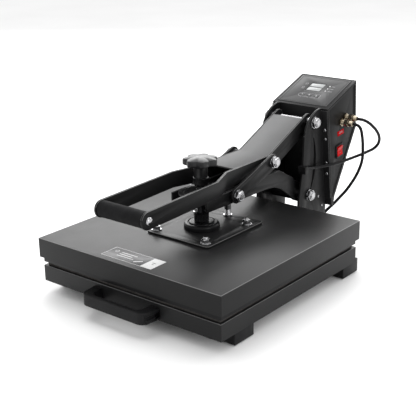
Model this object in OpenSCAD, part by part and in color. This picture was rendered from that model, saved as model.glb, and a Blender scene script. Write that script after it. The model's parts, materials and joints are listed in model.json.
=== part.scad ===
// Clamshell heat press with a slide-out lower platen, a toggle lever and a tilted control box.
// Frame: +X to the operator's right, +Y to the rear, +Z up, the floor at Z = 0.
// Inside the modules, Y is counted from the middle of the platens.

/* [Platens] */
// Width and depth of the upper cover
cover_size = 400; // [380:1:420]
// Height of the upper cover's side walls
cover_h = 34.5; // [30:0.5:40]
// Sheet thickness of the covers
sheet = 1.5; // [1:0.1:2]
// Width and depth of the heating plate
plate_size = 390; // [370:1:394]
// Width and depth of the lower tray
tray_size = 391; // [380:1:394]
// Height of the lower tray's skirt
tray_h = 29; // [26:0.5:32]
// Thickness of the silicone pad
pad_t = 5.6; // [4:0.1:6]

/* [Base] */
// Width of a base tube along Y
tube_w = 49; // [40:1:52]
// Height of a base tube
tube_h = 25; // [22:0.5:26]
// Thickness of the rubber feet
foot_t = 2; // [1.5:0.5:3]
// Middle of the front cross tube
front_tube_y = -135; // [-145:1:-125]
// Middle of the rear cross tube
rear_tube_y = 182.5; // [175:0.5:190]

/* [Upright] */
// Outer face of each upright plate, from the middle
upright_x = 50; // [49:0.5:51]
// Thickness of an upright plate
upright_t = 4; // [3:0.5:4]

/* [Arm and lever] */
// Outer face of each arm side plate
arm_x = 39.5; // [39:0.1:39.5]
// Thickness of an arm side plate
arm_t = 3.5; // [3:0.1:3.5]
// Outer face of the lever's channel
lever_x = 35; // [34:0.5:35]
// Outer face of the lever's hand bars
bar_x = 52; // [50:0.5:54]
// Thickness of the lever's plates
lever_t = 4; // [3:0.5:4]
// Diameter of the foam grip
grip_d = 28; // [24:1:30]
// Radius of the pivot bolts
pivot_r = 6; // [5.5:0.1:6]
// Radial running clearance at every pivot
run_gap = 0.06; // [0.03:0.01:0.1]

/* [Pressure screw] */
// Radius of the pressure screw
screw_r = 8; // [7:0.5:8]
// Radius over the lobes of the knob
knob_r = 31; // [26:1:34]
// Lobes of the knob
knob_lobes = 7; // [6:1:8]

/* [Control box] */
// Width of the control box
box_w = 126; // [124:1:130]
// Wall thickness of the control box
box_wall = 1.5; // [1:0.1:2]
// Diameter of the two leads
lead_d = 6; // [5:0.5:6]

/* [Hidden] */
$fn = 64;

// The origin is below the middle of the bounding box, this far behind the platens' middle.
origin_y = 90.25;

// Heights above the floor
tube_top = foot_t + tube_h;
tray_bottom = 23;
tray_top = tray_bottom + tray_h;
pad_top = tray_top + pad_t;
plate_bottom = pad_top + 0.4;
cover_bottom = 67.5;
plate_top = cover_bottom + 0.5;
cover_top = cover_bottom + cover_h;
mount_t = 4;
mount_top = cover_top + mount_t;

// Pivots, as [y, z]
lever_pivot = [278, 243];
arm_pivot = [264, 103.5];
link_upper = [149.5, 196.3];
link_lower = [42, 161.2];
hand_axis = [-190, 184];

// Arm
arm_top_z = 171;
arm_top_t = 3.5;
arm_low_z = 148.5;
arm_rear_t = 4.5;
nose_dish_r = 30;
nose_dish = 2;
screw_nut_low = 150;
guide_y = 74;
guide_r = 6;

// Links
link_x = 42.5;
link_t = 4.5;
link_half = 14;
face_gap = 0.3;

// Fasteners
washer_r = 11;
washer_t = 1.6;
nut_flat = 19;
nut_h = 8;
stud_out = 10;

// Pressure screw
foot_r = 31.5;
foot_top = mount_top + 12;
collar_top = foot_top + 16;
ring_low = 185;
ring_top = 197.7;
hub_top = 220;
knob_top = 235;

// Control box: its side outline as [y, z]
box_outline = [[325.5, 67], [333, 67], [337, 84], [411.5, 210], [406.5, 303.5], [302.5, 265.5]];
// The same outline with its foot run out to a point, for the rim around the side panels
box_main = [[325.8, 65], [411.5, 210], [406.5, 303.5], [302.5, 265.5]];
box_x = box_w / 2;
rim = 6;
panel_angle = atan2(38, 104);
panel_origin = [302.5, 265.5];
panel_len = norm([104, 38]);
gland_yz = [[353, 230.5], [368, 237.5]];
gland_out = 28.5;
lead_gap = 0.2;
switch_yz = [351, 173.5];
switch_size = [22, 24];
key_x = [-16, 0, 16];
key_along = 36;

// Routes of the two leads, point by point
heater_route = [[62, 368, 237.5], [90, 368, 237.5], [97, 368.5, 237.5], [104, 371, 236], [110, 377, 231],
    [114, 386, 223], [116, 397, 213], [116, 408, 201], [113, 417, 189], [108, 421, 178],
    [101, 418, 169], [94, 409, 164], [87, 395, 160], [80, 376, 157], [75, 356, 155],
    [71, 337, 154], [68, 320, 154], [63, 304, 154.5], [58, 289, 155], [55, 275, 156],
    [54, 262, 158], [53.7, 252, 160], [53.7, 242, 160]];
sensor_route = [[62, 353, 230.5], [90, 353, 230.5], [96, 353.5, 230], [101, 356, 227], [103.5, 360, 220],
    [103, 366, 207], [101, 373, 192], [98, 380, 174], [95, 385, 156], [90, 387, 138],
    [84, 384, 120], [77, 377, 103], [70, 368, 88], [62, 358, 75], [54, 350, 63],
    [46, 344, 53], [40, 338, 45], [36.5, 331, 40.6], [36, 325, 40], [36, 319, 40]];

// ---------- shared shapes ----------

module in_frame() {
    translate([0, -origin_y, 0]) children();
}

// A side view outline of [y, z] points, extruded towards +X from x
module side_extrude(x, thick) {
    translate([x, 0, 0]) rotate([90, 0, 90]) linear_extrude(thick) children();
}

// A cylinder along X through a pivot at [y, z]
module cross_pin(pivot, r, x0, x1) {
    translate([x0, pivot[0], pivot[1]]) rotate([0, 90, 0]) cylinder(r = r, h = x1 - x0);
}

module both_sides() {
    children();
    mirror([1, 0, 0]) children();
}

module at_corners(dx, dy) {
    for (sx = [-1, 1], sy = [-1, 1]) translate([sx * dx, sy * dy, 0]) children();
}

module rounded_square(size, r) {
    square([size[0], size[1] - 2 * r], center = true);
    square([size[0] - 2 * r, size[1]], center = true);
    for (sx = [-1, 1], sy = [-1, 1])
        translate([sx * (size[0] / 2 - r), sy * (size[1] / 2 - r)]) circle(r);
}

module ring(outer, inner, h) {
    difference() {
        cylinder(r = outer, h = h);
        translate([0, 0, -1]) cylinder(r = inner, h = h + 2);
    }
}

module hexagon_nut(flat, h) {
    cylinder(r = flat / sqrt(3), h = h, $fn = 6);
}

// A washer and a nut on a pivot bolt of radius r, seated on the face at x
module pivot_nut(pivot, x, r) {
    translate([x, pivot[0], pivot[1]]) rotate([0, 90, 0]) {
        ring(washer_r, r, washer_t);
        translate([0, 0, washer_t]) difference() {
            rotate(12) hexagon_nut(nut_flat, nut_h);
            translate([0, 0, -1]) cylinder(r = r, h = nut_h + 2);
        }
    }
}

// A convex outline moved inwards by d on every side
function line_in(p, q, d) =
    let (v = q - p, n = [-v[1], v[0]] / norm(v)) [p + n * d, v / norm(v)];
function crossing(a, b) =
    let (w = b[0] - a[0], den = a[1][0] * b[1][1] - a[1][1] * b[1][0])
    a[0] + a[1] * (w[0] * b[1][1] - w[1] * b[1][0]) / den;
function inset(points, d) = [for (i = [0 : len(points) - 1])
    let (n = len(points), p = points[(i + n - 1) % n], q = points[i], s = points[(i + 1) % n])
    crossing(line_in(p, q, d), line_in(q, s, d))];

// A tube of a given diameter along a list of points, as one polyhedron
function unit(v) = v / norm(v);
function tangent(p, i) = unit(p[min(i + 1, len(p) - 1)] - p[max(i - 1, 0)]);
function side_of(t) = unit(cross(t, abs(t[2]) > 0.9 ? [0, 1, 0] : [0, 0, 1]));
function spline(a, b, c, d, t) = 0.5 * ((2 * b) + (c - a) * t
    + (2 * a - 5 * b + 4 * c - d) * t * t + (3 * b - a - 3 * c + d) * t * t * t);
function smooth(p, steps) = [for (i = [0 : len(p) - 2], k = [0 : steps - 1])
    spline(p[max(i - 1, 0)], p[i], p[i + 1], p[min(i + 2, len(p) - 1)], k / steps),
    p[len(p) - 1]];
module lead(route, d, sides = 8, steps = 2) {
    path = smooth(route, steps);
    rings = len(path);
    points = [for (i = [0 : rings - 1])
        let (t = tangent(path, i), u = side_of(t), w = cross(t, u))
        for (k = [0 : sides - 1])
            path[i] + d / 2 * (u * cos(360 * k / sides) + w * sin(360 * k / sides))];
    sides_faces = [for (i = [0 : rings - 2], k = [0 : sides - 1])
        let (a = i * sides, k2 = (k + 1) % sides)
        [a + k, a + sides + k, a + sides + k2, a + k2]];
    ends = [[for (k = [0 : sides - 1]) k],
        [for (k = [sides - 1 : -1 : 0]) (rings - 1) * sides + k]];
    polyhedron(points = points, faces = concat(sides_faces, ends));
}

// ---------- base ----------

module rect_tube(w, h, l, wall) {
    difference() {
        cube([l, w, h]);
        translate([-1, wall, wall]) cube([l + 2, w - 2 * wall, h - 2 * wall]);
    }
}

tube_wall = 2;
cap_t = 2;
tube_end = tray_size / 2 - sheet - 0.5;
tube_len = 2 * (tube_end - cap_t);
long_x = 21;
long_w = 25;
long_rear = 325;
tube_ys = [front_tube_y, rear_tube_y];

module cross_tubes() {
    color("#2a2a2c") in_frame() for (y = tube_ys)
        translate([-tube_len / 2, y - tube_w / 2, foot_t]) rect_tube(tube_w, tube_h, tube_len, tube_wall);
}

module long_tube(y0, y1) {
    translate([long_x + long_w, y0, foot_t]) rotate(90) rect_tube(long_w, tube_h, y1 - y0, tube_wall);
}

module long_tubes() {
    color("#2a2a2c") in_frame() both_sides() {
        long_tube(front_tube_y + tube_w / 2, rear_tube_y - tube_w / 2);
        long_tube(rear_tube_y + tube_w / 2, long_rear);
    }
}

module end_cap(w) {
    plug = 8;
    cube([cap_t, w, tube_h]);
    translate([-plug, tube_wall, tube_wall]) cube([plug, w - 2 * tube_wall, tube_h - 2 * tube_wall]);
}
module tube_end_caps() {
    color("#18181a") in_frame() both_sides() {
        for (y = tube_ys) translate([tube_end - cap_t, y - tube_w / 2, foot_t]) end_cap(tube_w);
        translate([long_x + long_w, long_rear, foot_t]) rotate(90) end_cap(long_w);
    }
}

foot_x = 170;
module rubber_feet() {
    color("#101012") in_frame() both_sides() for (y = tube_ys)
        translate([foot_x, y, 0]) cylinder(r = 16, h = foot_t);
}

rail_x = 150;
rail_len = 366;
rail_front = -172;
rail_w = 12;
rail_h = 17;
slot_h = 9;
slot_w = 9;
module drawer_rails() {
    color("#8d9196") in_frame() both_sides() translate([rail_x, rail_front, tube_top]) difference() {
        cube([rail_w, rail_len, rail_h]);
        translate([-1, -1, (rail_h - slot_h) / 2]) cube([slot_w + 1, rail_len + 2, slot_h]);
    }
}

// ---------- upright ----------

// How far back the front wall of the box is at a height
function front_y(z) = box_outline[5][0] + (box_outline[0][0] - box_outline[5][0])
    * (box_outline[5][1] - z) / (box_outline[5][1] - box_outline[0][1]);
flange_low = 83;
flange_high = 261.5;
flange_t = 3;
front_face = [box_outline[5], [front_y(flange_low), flange_low]];
module upright_outline() {
    brow = [302.2, 209.7];
    brow_r = 57;
    brow_top = [297, 266.5];
    brow_low = [246.5, 222];
    polygon([[228, 6], [322, 6], [325, 66.5], front_face[1], front_face[0], brow_top, brow_low,
        [245.5, 217], [242, 160], [229.5, 98]]);
    intersection() {
        translate(brow) circle(brow_r);
        polygon([brow_low, [brow_low[0] - 20, brow_top[1]], [brow_low[0], brow_top[1] + 10], brow_top]);
    }
}

// The crescent window in an upright plate
module crescent() {
    intersection() {
        difference() {
            translate([168, 170]) circle(118);
            translate([88, 178]) circle(191);
        }
        translate([262, 104]) square([40, 110]);
    }
}

module upright_plate() {
    inner = upright_x - upright_t;
    difference() {
        side_extrude(inner, upright_t) difference() {
            upright_outline();
            crescent();
        }
        for (p = [lever_pivot, arm_pivot]) cross_pin(p, pivot_r, inner - 1, upright_x + 1);
        for (y = base_bolt_ys) cross_pin([y, foot_t + tube_h / 2], 3, inner - 1, upright_x + 1);
    }
    side_extrude(inner, box_x - inner) polygon([front_face[1], [front_y(flange_high), flange_high],
        [front_y(flange_high) - flange_t, flange_high], front_face[1] - [flange_t, 0]]);
}

module upright_left() {
    color("#2b2b2d") in_frame() mirror([1, 0, 0]) upright_plate();
}
module upright_right() {
    color("#2b2b2d") in_frame() upright_plate();
}

web_rear = 322;
web_t = 3;
web_top = 50;
grommet_at = [36, 40];
module upright_web() {
    half = upright_x - upright_t;
    color("#2b2b2d") in_frame() difference() {
        translate([-half, web_rear - web_t, tube_top]) cube([2 * half, web_t, web_top - tube_top]);
        translate([grommet_at[0], web_rear - web_t - 1, grommet_at[1]]) rotate([-90, 0, 0])
            cylinder(r = 6, h = web_t + 2);
    }
}

base_bolt_ys = [245, 305];
// Screws through the upright flanges into the box, as distances down the flange
flange_screw_d = [42, 60, 109, 131];
module round_screw(r, h) {
    cylinder(r = r, h = h * 0.4);
    translate([0, 0, h * 0.4]) intersection() {
        translate([0, 0, -r * 0.9]) sphere(r = r * 1.345);
        cylinder(r = r, h = h);
    }
}
module frame_screws() {
    down = unit(front_face[1] - front_face[0]);
    tilt = atan2(down[0], -down[1]);
    color("silver") in_frame() both_sides() {
        for (d = flange_screw_d) let (p = front_face[0] + down * d)
            translate([57, p[0], p[1]]) rotate([90 + tilt, 0, 0])
                translate([0, 0, flange_t * cos(tilt)]) round_screw(3, 2.2);
        for (y = base_bolt_ys)
            translate([upright_x, y, foot_t + tube_h / 2]) rotate([0, 90, 0]) {
                round_screw(5, 4);
                translate([0, 0, -upright_t]) cylinder(r = 3, h = upright_t);
            }
        for (p = [[297, 92], [311, 70]])
            translate([upright_x, p[0], p[1]]) rotate([0, 90, 0]) round_screw(2.6, 2);
    }
}

bolt_half = upright_x + stud_out;
module lever_pivot_shaft() {
    color("silver") in_frame() cross_pin(lever_pivot, pivot_r, -bolt_half, bolt_half);
}
module arm_pivot_shaft() {
    color("silver") in_frame() cross_pin(arm_pivot, pivot_r, -bolt_half, bolt_half);
}

// Rings that hold the lever and the arm in the middle of the uprights
module spacer(pivot, x0, x1, r) {
    difference() {
        cross_pin(pivot, r, x0, x1);
        cross_pin(pivot, pivot_r, x0 - 1, x1 + 1);
    }
}
module pivot_spacers() {
    inner = upright_x - upright_t;
    color("silver") in_frame() both_sides() {
        spacer(lever_pivot, lever_x + face_gap, inner, 9);
        spacer(arm_pivot, arm_x - arm_t + face_gap, inner, 11);
    }
}
module upright_pivot_nuts() {
    color("silver") in_frame() both_sides()
        for (p = [lever_pivot, arm_pivot]) pivot_nut(p, upright_x, pivot_r);
}

// ---------- control box ----------

// Moves children onto the sloping top of the box: X across, Y up the slope, Z out of it
module on_panel() {
    translate([0, panel_origin[0], panel_origin[1]]) rotate([panel_angle, 0, 0]) children();
}

display_at = [-3.5, 67];
display_size = [33, 29];
key_size = [9, 6];
light_x = 24;
light_along = [57, 66, 75];
panel_t = 0.8;
panel_edge = 7;
light_r = 1.2;
key_gap = 0.3;
module panel_openings(grow) {
    depth = 10;
    translate([display_at[0], display_at[1], 0])
        cube([display_size[0] + grow, display_size[1] + grow, depth], center = true);
    for (x = key_x) translate([x, key_along, 0])
        cube([key_size[0] + 2 * key_gap + grow, key_size[1] + 2 * key_gap + grow, depth], center = true);
    for (a = light_along) translate([light_x, a, 0])
        cylinder(r = light_r + grow / 2, h = depth, center = true);
}

module box_case() {
    color("#303032") in_frame() difference() {
        union() {
            difference() {
                side_extrude(-box_x, box_w) polygon(box_outline);
                side_extrude(-box_x - 1, box_w + 2) polygon(inset(box_outline, box_wall));
            }
            both_sides() side_extrude(box_x - box_wall, box_wall) difference() {
                polygon(inset(box_outline, box_wall / 2));
                polygon(inset(box_main, rim));
            }
        }
        on_panel() panel_openings(0.4);
        inlet_place() cube([28, 20, 20], center = true);
    }
}

side_x = box_x - box_wall;
side_t = 2;
module side_panel() {
    side_extrude(side_x - side_t, side_t) polygon(inset(box_outline, box_wall));
}
module box_sides() {
    color("#2a2a2c") in_frame() {
        difference() {
            side_panel();
            for (g = gland_yz) cross_pin(g, gland_r, side_x - side_t - 1, side_x + 1);
            translate([side_x, switch_yz[0], switch_yz[1]])
                rotate([switch_tilt, 0, 0]) cube([10, switch_size[0], switch_size[1]], center = true);
        }
        mirror([1, 0, 0]) side_panel();
    }
}

module control_panel() {
    color("#3a3a3c") in_frame() on_panel() difference() {
        translate([-box_x + panel_edge, panel_edge, 0])
            cube([box_w - 2 * panel_edge, panel_len - 2 * panel_edge, panel_t]);
        panel_openings(0);
    }
}

module display_window() {
    color("#e8eaea") in_frame() on_panel() translate([display_at[0], display_at[1], -1.2])
        cube([display_size[0], display_size[1], 3.2], center = true);
}

module indicator_lights() {
    color("white") in_frame() on_panel() for (a = light_along)
        translate([light_x, a, -3]) cylinder(r = light_r, h = 4.2);
}

module control_board() {
    low = -16;
    board_t = 1.6;
    color("#2f6b3a") in_frame() on_panel() {
        translate([-45, 14, low]) cube([90, 80, board_t]);
        translate([-37, 22, low + board_t]) cube([20, 8, 8]);
        for (x = [-40, 40], y = [19, 89]) translate([x, y, low])
            cylinder(r = 2.5, h = -box_wall - low);
    }
}

module panel_key(x) {
    color("#4a4a4d") in_frame() on_panel() translate([x, key_along, -0.9])
        cube([key_size[0], key_size[1], 4.6], center = true);
}
module key_mode() {
    panel_key(key_x[0]);
}
module key_down() {
    panel_key(key_x[1]);
}
module key_up() {
    panel_key(key_x[2]);
}

// The rocker switch: a bezel with a pocket, and a rocker on a pin across it
switch_tilt = 7;
bezel_w = 2;
rocker_pin_x = side_x + 0.5;
rocker_pin_r = 1.5;
module rocker_pin(r, w) {
    translate([rocker_pin_x, w / 2, 0]) rotate([90, 0, 0]) cylinder(r = r, h = w);
}
module switch_frame() {
    translate([0, switch_yz[0], switch_yz[1]]) rotate([switch_tilt, 0, 0]) children();
}
module switch_bezel() {
    inner = [switch_size[0] - 2 * bezel_w, switch_size[1] - 2 * bezel_w];
    color("#151517") in_frame() switch_frame() {
        difference() {
            union() {
                translate([side_x, -switch_size[0] / 2 - 1, -switch_size[1] / 2 - 1])
                    cube([1.8, switch_size[0] + 2, switch_size[1] + 2]);
                translate([side_x - 14, -switch_size[0] / 2, -switch_size[1] / 2])
                    cube([14, switch_size[0], switch_size[1]]);
            }
            translate([side_x - 12, -inner[0] / 2, -inner[1] / 2]) cube([20, inner[0], inner[1]]);
        }
        rocker_pin(rocker_pin_r, inner[0] + 1);
    }
}
module switch_rocker() {
    half = switch_size[1] / 2 - bezel_w - 0.6;
    w = switch_size[0] - 2 * bezel_w - 0.8;
    color("#c8141a") in_frame() switch_frame() difference() {
        translate([rocker_pin_x, w / 2, 0]) rotate([90, 0, 0]) linear_extrude(w)
            polygon([[-6, -half + 1.2], [-1, -half], [2.4, -half], [1.6, 0], [4.4, half - 0.5],
                [-1, half], [-6, half - 1.2]]);
        rocker_pin(rocker_pin_r + run_gap, w + 2);
    }
}

gland_r = 5.6;
module gland_body() {
    hexagon_nut(14, 5);
    cylinder(r = gland_r, h = 12);
    translate([0, 0, 11]) hexagon_nut(12.5, 8);
    translate([0, 0, 19]) cylinder(r1 = 6, r2 = 4.5, h = gland_out - 19);
    translate([0, 0, -side_t - 3]) cylinder(r = gland_r, h = side_t + 4);
}
module cable_glands() {
    color("#c9c2a8") in_frame() for (g = gland_yz) translate([side_x, g[0], g[1]])
        rotate([0, 90, 0]) difference() {
            gland_body();
            translate([0, 0, -side_t - 4]) cylinder(r = lead_d / 2 + lead_gap, h = gland_out + side_t + 5);
        }
}

// The mains inlet in the rear wall of the box
module inlet_place() {
    rear = [box_outline[3], box_outline[4]];
    mid = (rear[0] + rear[1]) / 2;
    lean = atan2(rear[0][0] - rear[1][0], rear[1][1] - rear[0][1]);
    translate([-25, mid[0], mid[1]]) rotate([-90 + lean, 0, 0]) children();
}
module power_inlet() {
    color("#131315") in_frame() inlet_place() difference() {
        union() {
            translate([-14, -10, -16]) cube([28, 20, 16]);
            translate([-17, -12.5, 0]) cube([34, 25, 1.5]);
        }
        translate([-12, -8, -13]) cube([24, 16, 20]);
    }
}

// ---------- leads ----------

module web_grommet() {
    color("#101012") in_frame() translate([grommet_at[0], web_rear - web_t, grommet_at[1]])
        rotate([-90, 0, 0]) {
            ring(6, lead_d / 2 + lead_gap, web_t);
            translate([0, 0, web_t]) ring(8, lead_d / 2 + lead_gap, 2);
        }
}
clip_z = 160;
module lead_clip() {
    edge = 242;
    color("#101012") in_frame() difference() {
        translate([upright_x - upright_t - 2.5, edge - 8, clip_z - 7]) cube([17, 10, 14]);
        side_extrude(upright_x - upright_t, upright_t) upright_outline();
        translate([53.7, edge, clip_z]) rotate([-90, 0, 0]) cylinder(r = lead_d / 2 + lead_gap, h = 6);
    }
}
module heater_lead() {
    color("#161618") in_frame() lead(heater_route, lead_d);
}
module sensor_lead() {
    color("#161618") in_frame() lead(sensor_route, lead_d);
}

// ---------- lower tray ----------

module tray_shell() {
    half = tray_size / 2;
    color("#333335") in_frame() difference() {
        translate([-half, -half, tray_bottom]) cube([tray_size, tray_size, tray_h]);
        translate([-half + sheet, -half + sheet, tray_bottom - 1])
            cube([tray_size - 2 * sheet, tray_size, tray_h - sheet + 1 - 0.5]);
    }
}
module silicone_pad() {
    color("#3c3a38") in_frame() translate([-190, -190, tray_top]) cube([380, 380, pad_t]);
}

pull_low = 25;
pull_h = 20;
module pull_half() {
    wall = -tray_size / 2;
    difference() {
        union() {
            polygon([[0, wall - 35.5], [56, wall - 35.5], [56, wall - 22], [70, wall - 22], [71, wall - 11],
                [73, wall], [0, wall]]);
            translate([56, wall - 21.5]) circle(14);
        }
        polygon([[-1, wall - 26], [46, wall - 26], [52, wall - 20], [54, wall + 1], [-1, wall + 1]]);
    }
}
module pull_handle() {
    groove = 6;
    wall = -tray_size / 2;
    color("#1a1a1c") in_frame() difference() {
        translate([0, 0, pull_low]) linear_extrude(pull_h) {
            pull_half();
            mirror([1, 0]) pull_half();
        }
        both_sides() translate([68, wall - 50, pull_low + (pull_h - groove) / 2]) cube([10, 49, groove]);
    }
}

runner_x = 140;
runner_len = 366;
runner_h = 8.4;
module drawer_runners() {
    color("#9a9ea3") in_frame() both_sides() {
        translate([runner_x, -183, tube_top + (rail_h - runner_h) / 2])
            cube([rail_x + slot_w - 0.4 - runner_x, runner_len, runner_h]);
        translate([runner_x, -183, tube_top + (rail_h - runner_h) / 2 + runner_h])
            cube([4, runner_len, tray_top - sheet - 0.5 - tube_top - (rail_h + runner_h) / 2]);
    }
}

// ---------- arm ----------

module arm_top() {
    rear = 180;
    color("#262628") in_frame() difference() {
        translate([0, 0, arm_top_z - arm_top_t]) linear_extrude(arm_top_t) {
            circle(arm_x);
            translate([-arm_x + arm_t, 0]) square([2 * (arm_x - arm_t), rear]);
        }
        translate([0, 0, arm_top_z - nose_dish]) cylinder(r = nose_dish_r, h = nose_dish + 1);
        translate([0, 0, arm_top_z - arm_top_t - 1]) cylinder(r = screw_r + 0.5, h = arm_top_t + 2);
        translate([0, guide_y, arm_top_z - arm_top_t - 1]) cylinder(r = guide_r + run_gap, h = arm_top_t + 2);
        both_sides() side_extrude(arm_x - arm_t, arm_t + 1) arm_outline();
    }
}

module arm_outline() {
    corner = 8;
    polygon([[0, arm_top_z], [-33, arm_top_z], [-33, arm_low_z + corner], [-33 + corner, arm_low_z + corner],
        [-33 + corner, arm_low_z], [40, 147.5], [140, 145.5], [165, 142.5], [185, 134], [204, 120.5],
        [222, 108], [232, 101], [231, 112], [226, 145], [180, arm_top_z]]);
    translate([-33 + corner, arm_low_z + corner]) circle(corner);
}

module arm_rear_outline() {
    ear = 17;
    polygon([[186, 160], [196, 164], [226, 143], [arm_pivot[0] + 6, arm_pivot[1] + 15.9], arm_pivot,
        [arm_pivot[0] - 5, arm_pivot[1] - 16.25], [235, 97.5], [208, 118.5]]);
    translate(arm_pivot) circle(ear);
}

module arm_sides() {
    inner = arm_x - arm_t;
    color("#262628") in_frame() both_sides() difference() {
        union() {
            side_extrude(inner, arm_t) arm_outline();
            side_extrude(inner - arm_rear_t, arm_rear_t) arm_rear_outline();
        }
        cross_pin(arm_pivot, pivot_r + run_gap, 0, 60);
        cross_pin(link_lower, pivot_r, 0, 60);
    }
}

module arm_pivot_tube() {
    half = arm_x - arm_t - arm_rear_t;
    color("#3a3a3c") in_frame() difference() {
        cross_pin(arm_pivot, 15, -half, half);
        cross_pin(arm_pivot, pivot_r + run_gap, -half - 1, half + 1);
    }
}

module screw_nut() {
    color("#3a3a3c") in_frame() translate([0, 0, screw_nut_low])
        ring(17, screw_r + run_gap, arm_top_z - arm_top_t - screw_nut_low);
}

module arm_link_shaft() {
    color("silver") in_frame() cross_pin(link_lower, pivot_r, -arm_x, arm_x);
}

// ---------- lever ----------

jog = [-16, 30];
top_plate_front = 52;
crease = 154.5;
ear_r = 15;
rise = atan2(51.5, 117.8);
function arc(mid, r, from, to, steps = 20) =
    [for (k = [0 : steps]) let (a = from + (to - from) * k / steps) mid + r * [cos(a), sin(a)]];

module lever_outline() {
    polygon(concat(arc(hand_axis, ear_r, 270, 90), [[jog[0], 202.6], [jog[1], 204.8], [crease, 205.4]],
        arc(lever_pivot, ear_r, 90 + rise, rise - 90), [[163, 174.5], [jog[1], 174.5], [jog[0], 173.5]]));
}

// What the press brake bends away: the plan view areas outside and inside a bar
module lever_plan_waste() {
    inner = lever_x - lever_t;
    hand_inner = bar_x - lever_t;
    polygon([[bar_x, jog[0]], [lever_x, jog[1]], [lever_x, 320], [bar_x + 5, 320], [bar_x + 5, jog[0]]]);
    polygon([[hand_inner, -250], [hand_inner, jog[0] - 2], [inner, jog[1] - 2], [inner - 5, jog[1] - 2],
        [inner - 5, -250]]);
}

module lever_bar() {
    difference() {
        side_extrude(lever_x - lever_t, bar_x - lever_x + lever_t) lever_outline();
        linear_extrude(300) lever_plan_waste();
        cross_pin(lever_pivot, pivot_r + run_gap, 0, 60);
        cross_pin(link_upper, pivot_r + run_gap, 0, 60);
        cross_pin(hand_axis, pivot_r, 0, 60);
    }
}
module lever_bar_left() {
    color("#29292b") in_frame() mirror([1, 0, 0]) lever_bar();
}
module lever_bar_right() {
    color("#29292b") in_frame() lever_bar();
}
module lever_top() {
    plate_t = 3;
    inner = lever_x - lever_t;
    rear = lever_pivot + ear_r * [-sin(rise), cos(rise)] - 12 * [cos(rise), sin(rise)];
    drop = [plate_t * sin(rise), -plate_t * cos(rise)];
    color("#3b3b3d") in_frame() side_extrude(-inner, 2 * inner)
        polygon([[top_plate_front, 204.9], [crease, 205.4], rear, rear + drop,
            [crease + 0.6, 205.4 - plate_t], [top_plate_front, 204.9 - plate_t]]);
}
module handle_rod() {
    color("silver") in_frame() {
        cross_pin(hand_axis, pivot_r, -bar_x, bar_x);
        both_sides() translate([bar_x, hand_axis[0], hand_axis[1]]) rotate([0, 90, 0]) round_screw(7, 4.5);
    }
}
module handle_grip() {
    half = bar_x - lever_t;
    color("#141416") in_frame() difference() {
        cross_pin(hand_axis, grip_d / 2, -half, half);
        cross_pin(hand_axis, pivot_r, -half - 1, half + 1);
    }
}

// ---------- links ----------

module link_outline() {
    reach = link_upper - link_lower;
    translate(link_lower) rotate(atan2(reach[1], reach[0])) {
        translate([0, -link_half]) square([norm(reach), 2 * link_half]);
        circle(link_half);
        translate([norm(reach), 0]) circle(link_half);
    }
}
module link_plate() {
    difference() {
        side_extrude(link_x, link_t) link_outline();
        for (p = [link_upper, link_lower]) cross_pin(p, pivot_r, link_x - 1, link_x + link_t + 1);
    }
}
module link_left() {
    color("#2d2d2f") in_frame() mirror([1, 0, 0]) link_plate();
}
module link_right() {
    color("#2d2d2f") in_frame() link_plate();
}
link_bolt_half = link_x + link_t + stud_out;
module link_pivot_shaft() {
    color("silver") in_frame() cross_pin(link_upper, pivot_r, -link_bolt_half, link_bolt_half);
}
module link_lower_bolts() {
    color("silver") in_frame() both_sides() cross_pin(link_lower, pivot_r, arm_x + face_gap, link_bolt_half);
}
module link_spacers() {
    color("#202022") in_frame() both_sides() {
        spacer(link_upper, lever_x + face_gap, link_x, 10);
        spacer(link_lower, arm_x + face_gap, link_x, 10);
    }
}
module link_nuts() {
    color("silver") in_frame() both_sides() for (p = [link_upper, link_lower])
        pivot_nut(p, link_x + link_t, pivot_r);
}

// ---------- upper platen ----------

stud_r = 4;
bolt_dx = 55;
bolt_dy = 57;
module platen_cover() {
    half = cover_size / 2;
    color("#2f2f31") in_frame() difference() {
        translate([-half, -half, cover_bottom]) cube([cover_size, cover_size, cover_h]);
        translate([-half + sheet, -half + sheet, cover_bottom - 1])
            cube([cover_size - 2 * sheet, cover_size - 2 * sheet, cover_h - sheet + 1]);
        at_corners(bolt_dx, bolt_dy) translate([0, 0, cover_top - 5]) cylinder(r = stud_r + 0.3, h = 10);
    }
}
module insulation_board() {
    color("#c9bfa5") in_frame() difference() {
        translate([-190, -190, plate_top]) cube([380, 380, 26]);
        at_corners(bolt_dx, bolt_dy) translate([0, 0, plate_top - 1]) cylinder(r = stud_r + 0.3, h = 40);
    }
}
module heating_plate() {
    color("#1d1d1f") in_frame() translate([-plate_size / 2, -plate_size / 2, plate_bottom])
        cube([plate_size, plate_size, plate_top - plate_bottom]);
}
module mount_plate() {
    size = [138, 158];
    color("#2f2f31") in_frame() difference() {
        translate([1, 9, cover_top]) linear_extrude(mount_t) rounded_square(size, 8);
        at_corners(bolt_dx, bolt_dy) translate([0, 0, cover_top - 1]) cylinder(r = stud_r, h = mount_t + 2);
    }
}
module mount_bolts() {
    color("silver") in_frame() at_corners(bolt_dx, bolt_dy) {
        translate([0, 0, plate_top]) cylinder(r = stud_r, h = mount_top + 12 - plate_top);
        translate([0, 0, mount_top]) difference() {
            union() {
                cylinder(r = 9, h = 1.6);
                translate([0, 0, 1.6]) rotate(10) hexagon_nut(13, 6.4);
            }
            translate([0, 0, -1]) cylinder(r = stud_r, h = 12);
        }
    }
}
module guide_post() {
    color("silver") in_frame() translate([0, guide_y, mount_top]) {
        cylinder(r = guide_r + 2, h = 2.5);
        cylinder(r = guide_r, h = 81);
    }
}
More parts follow.
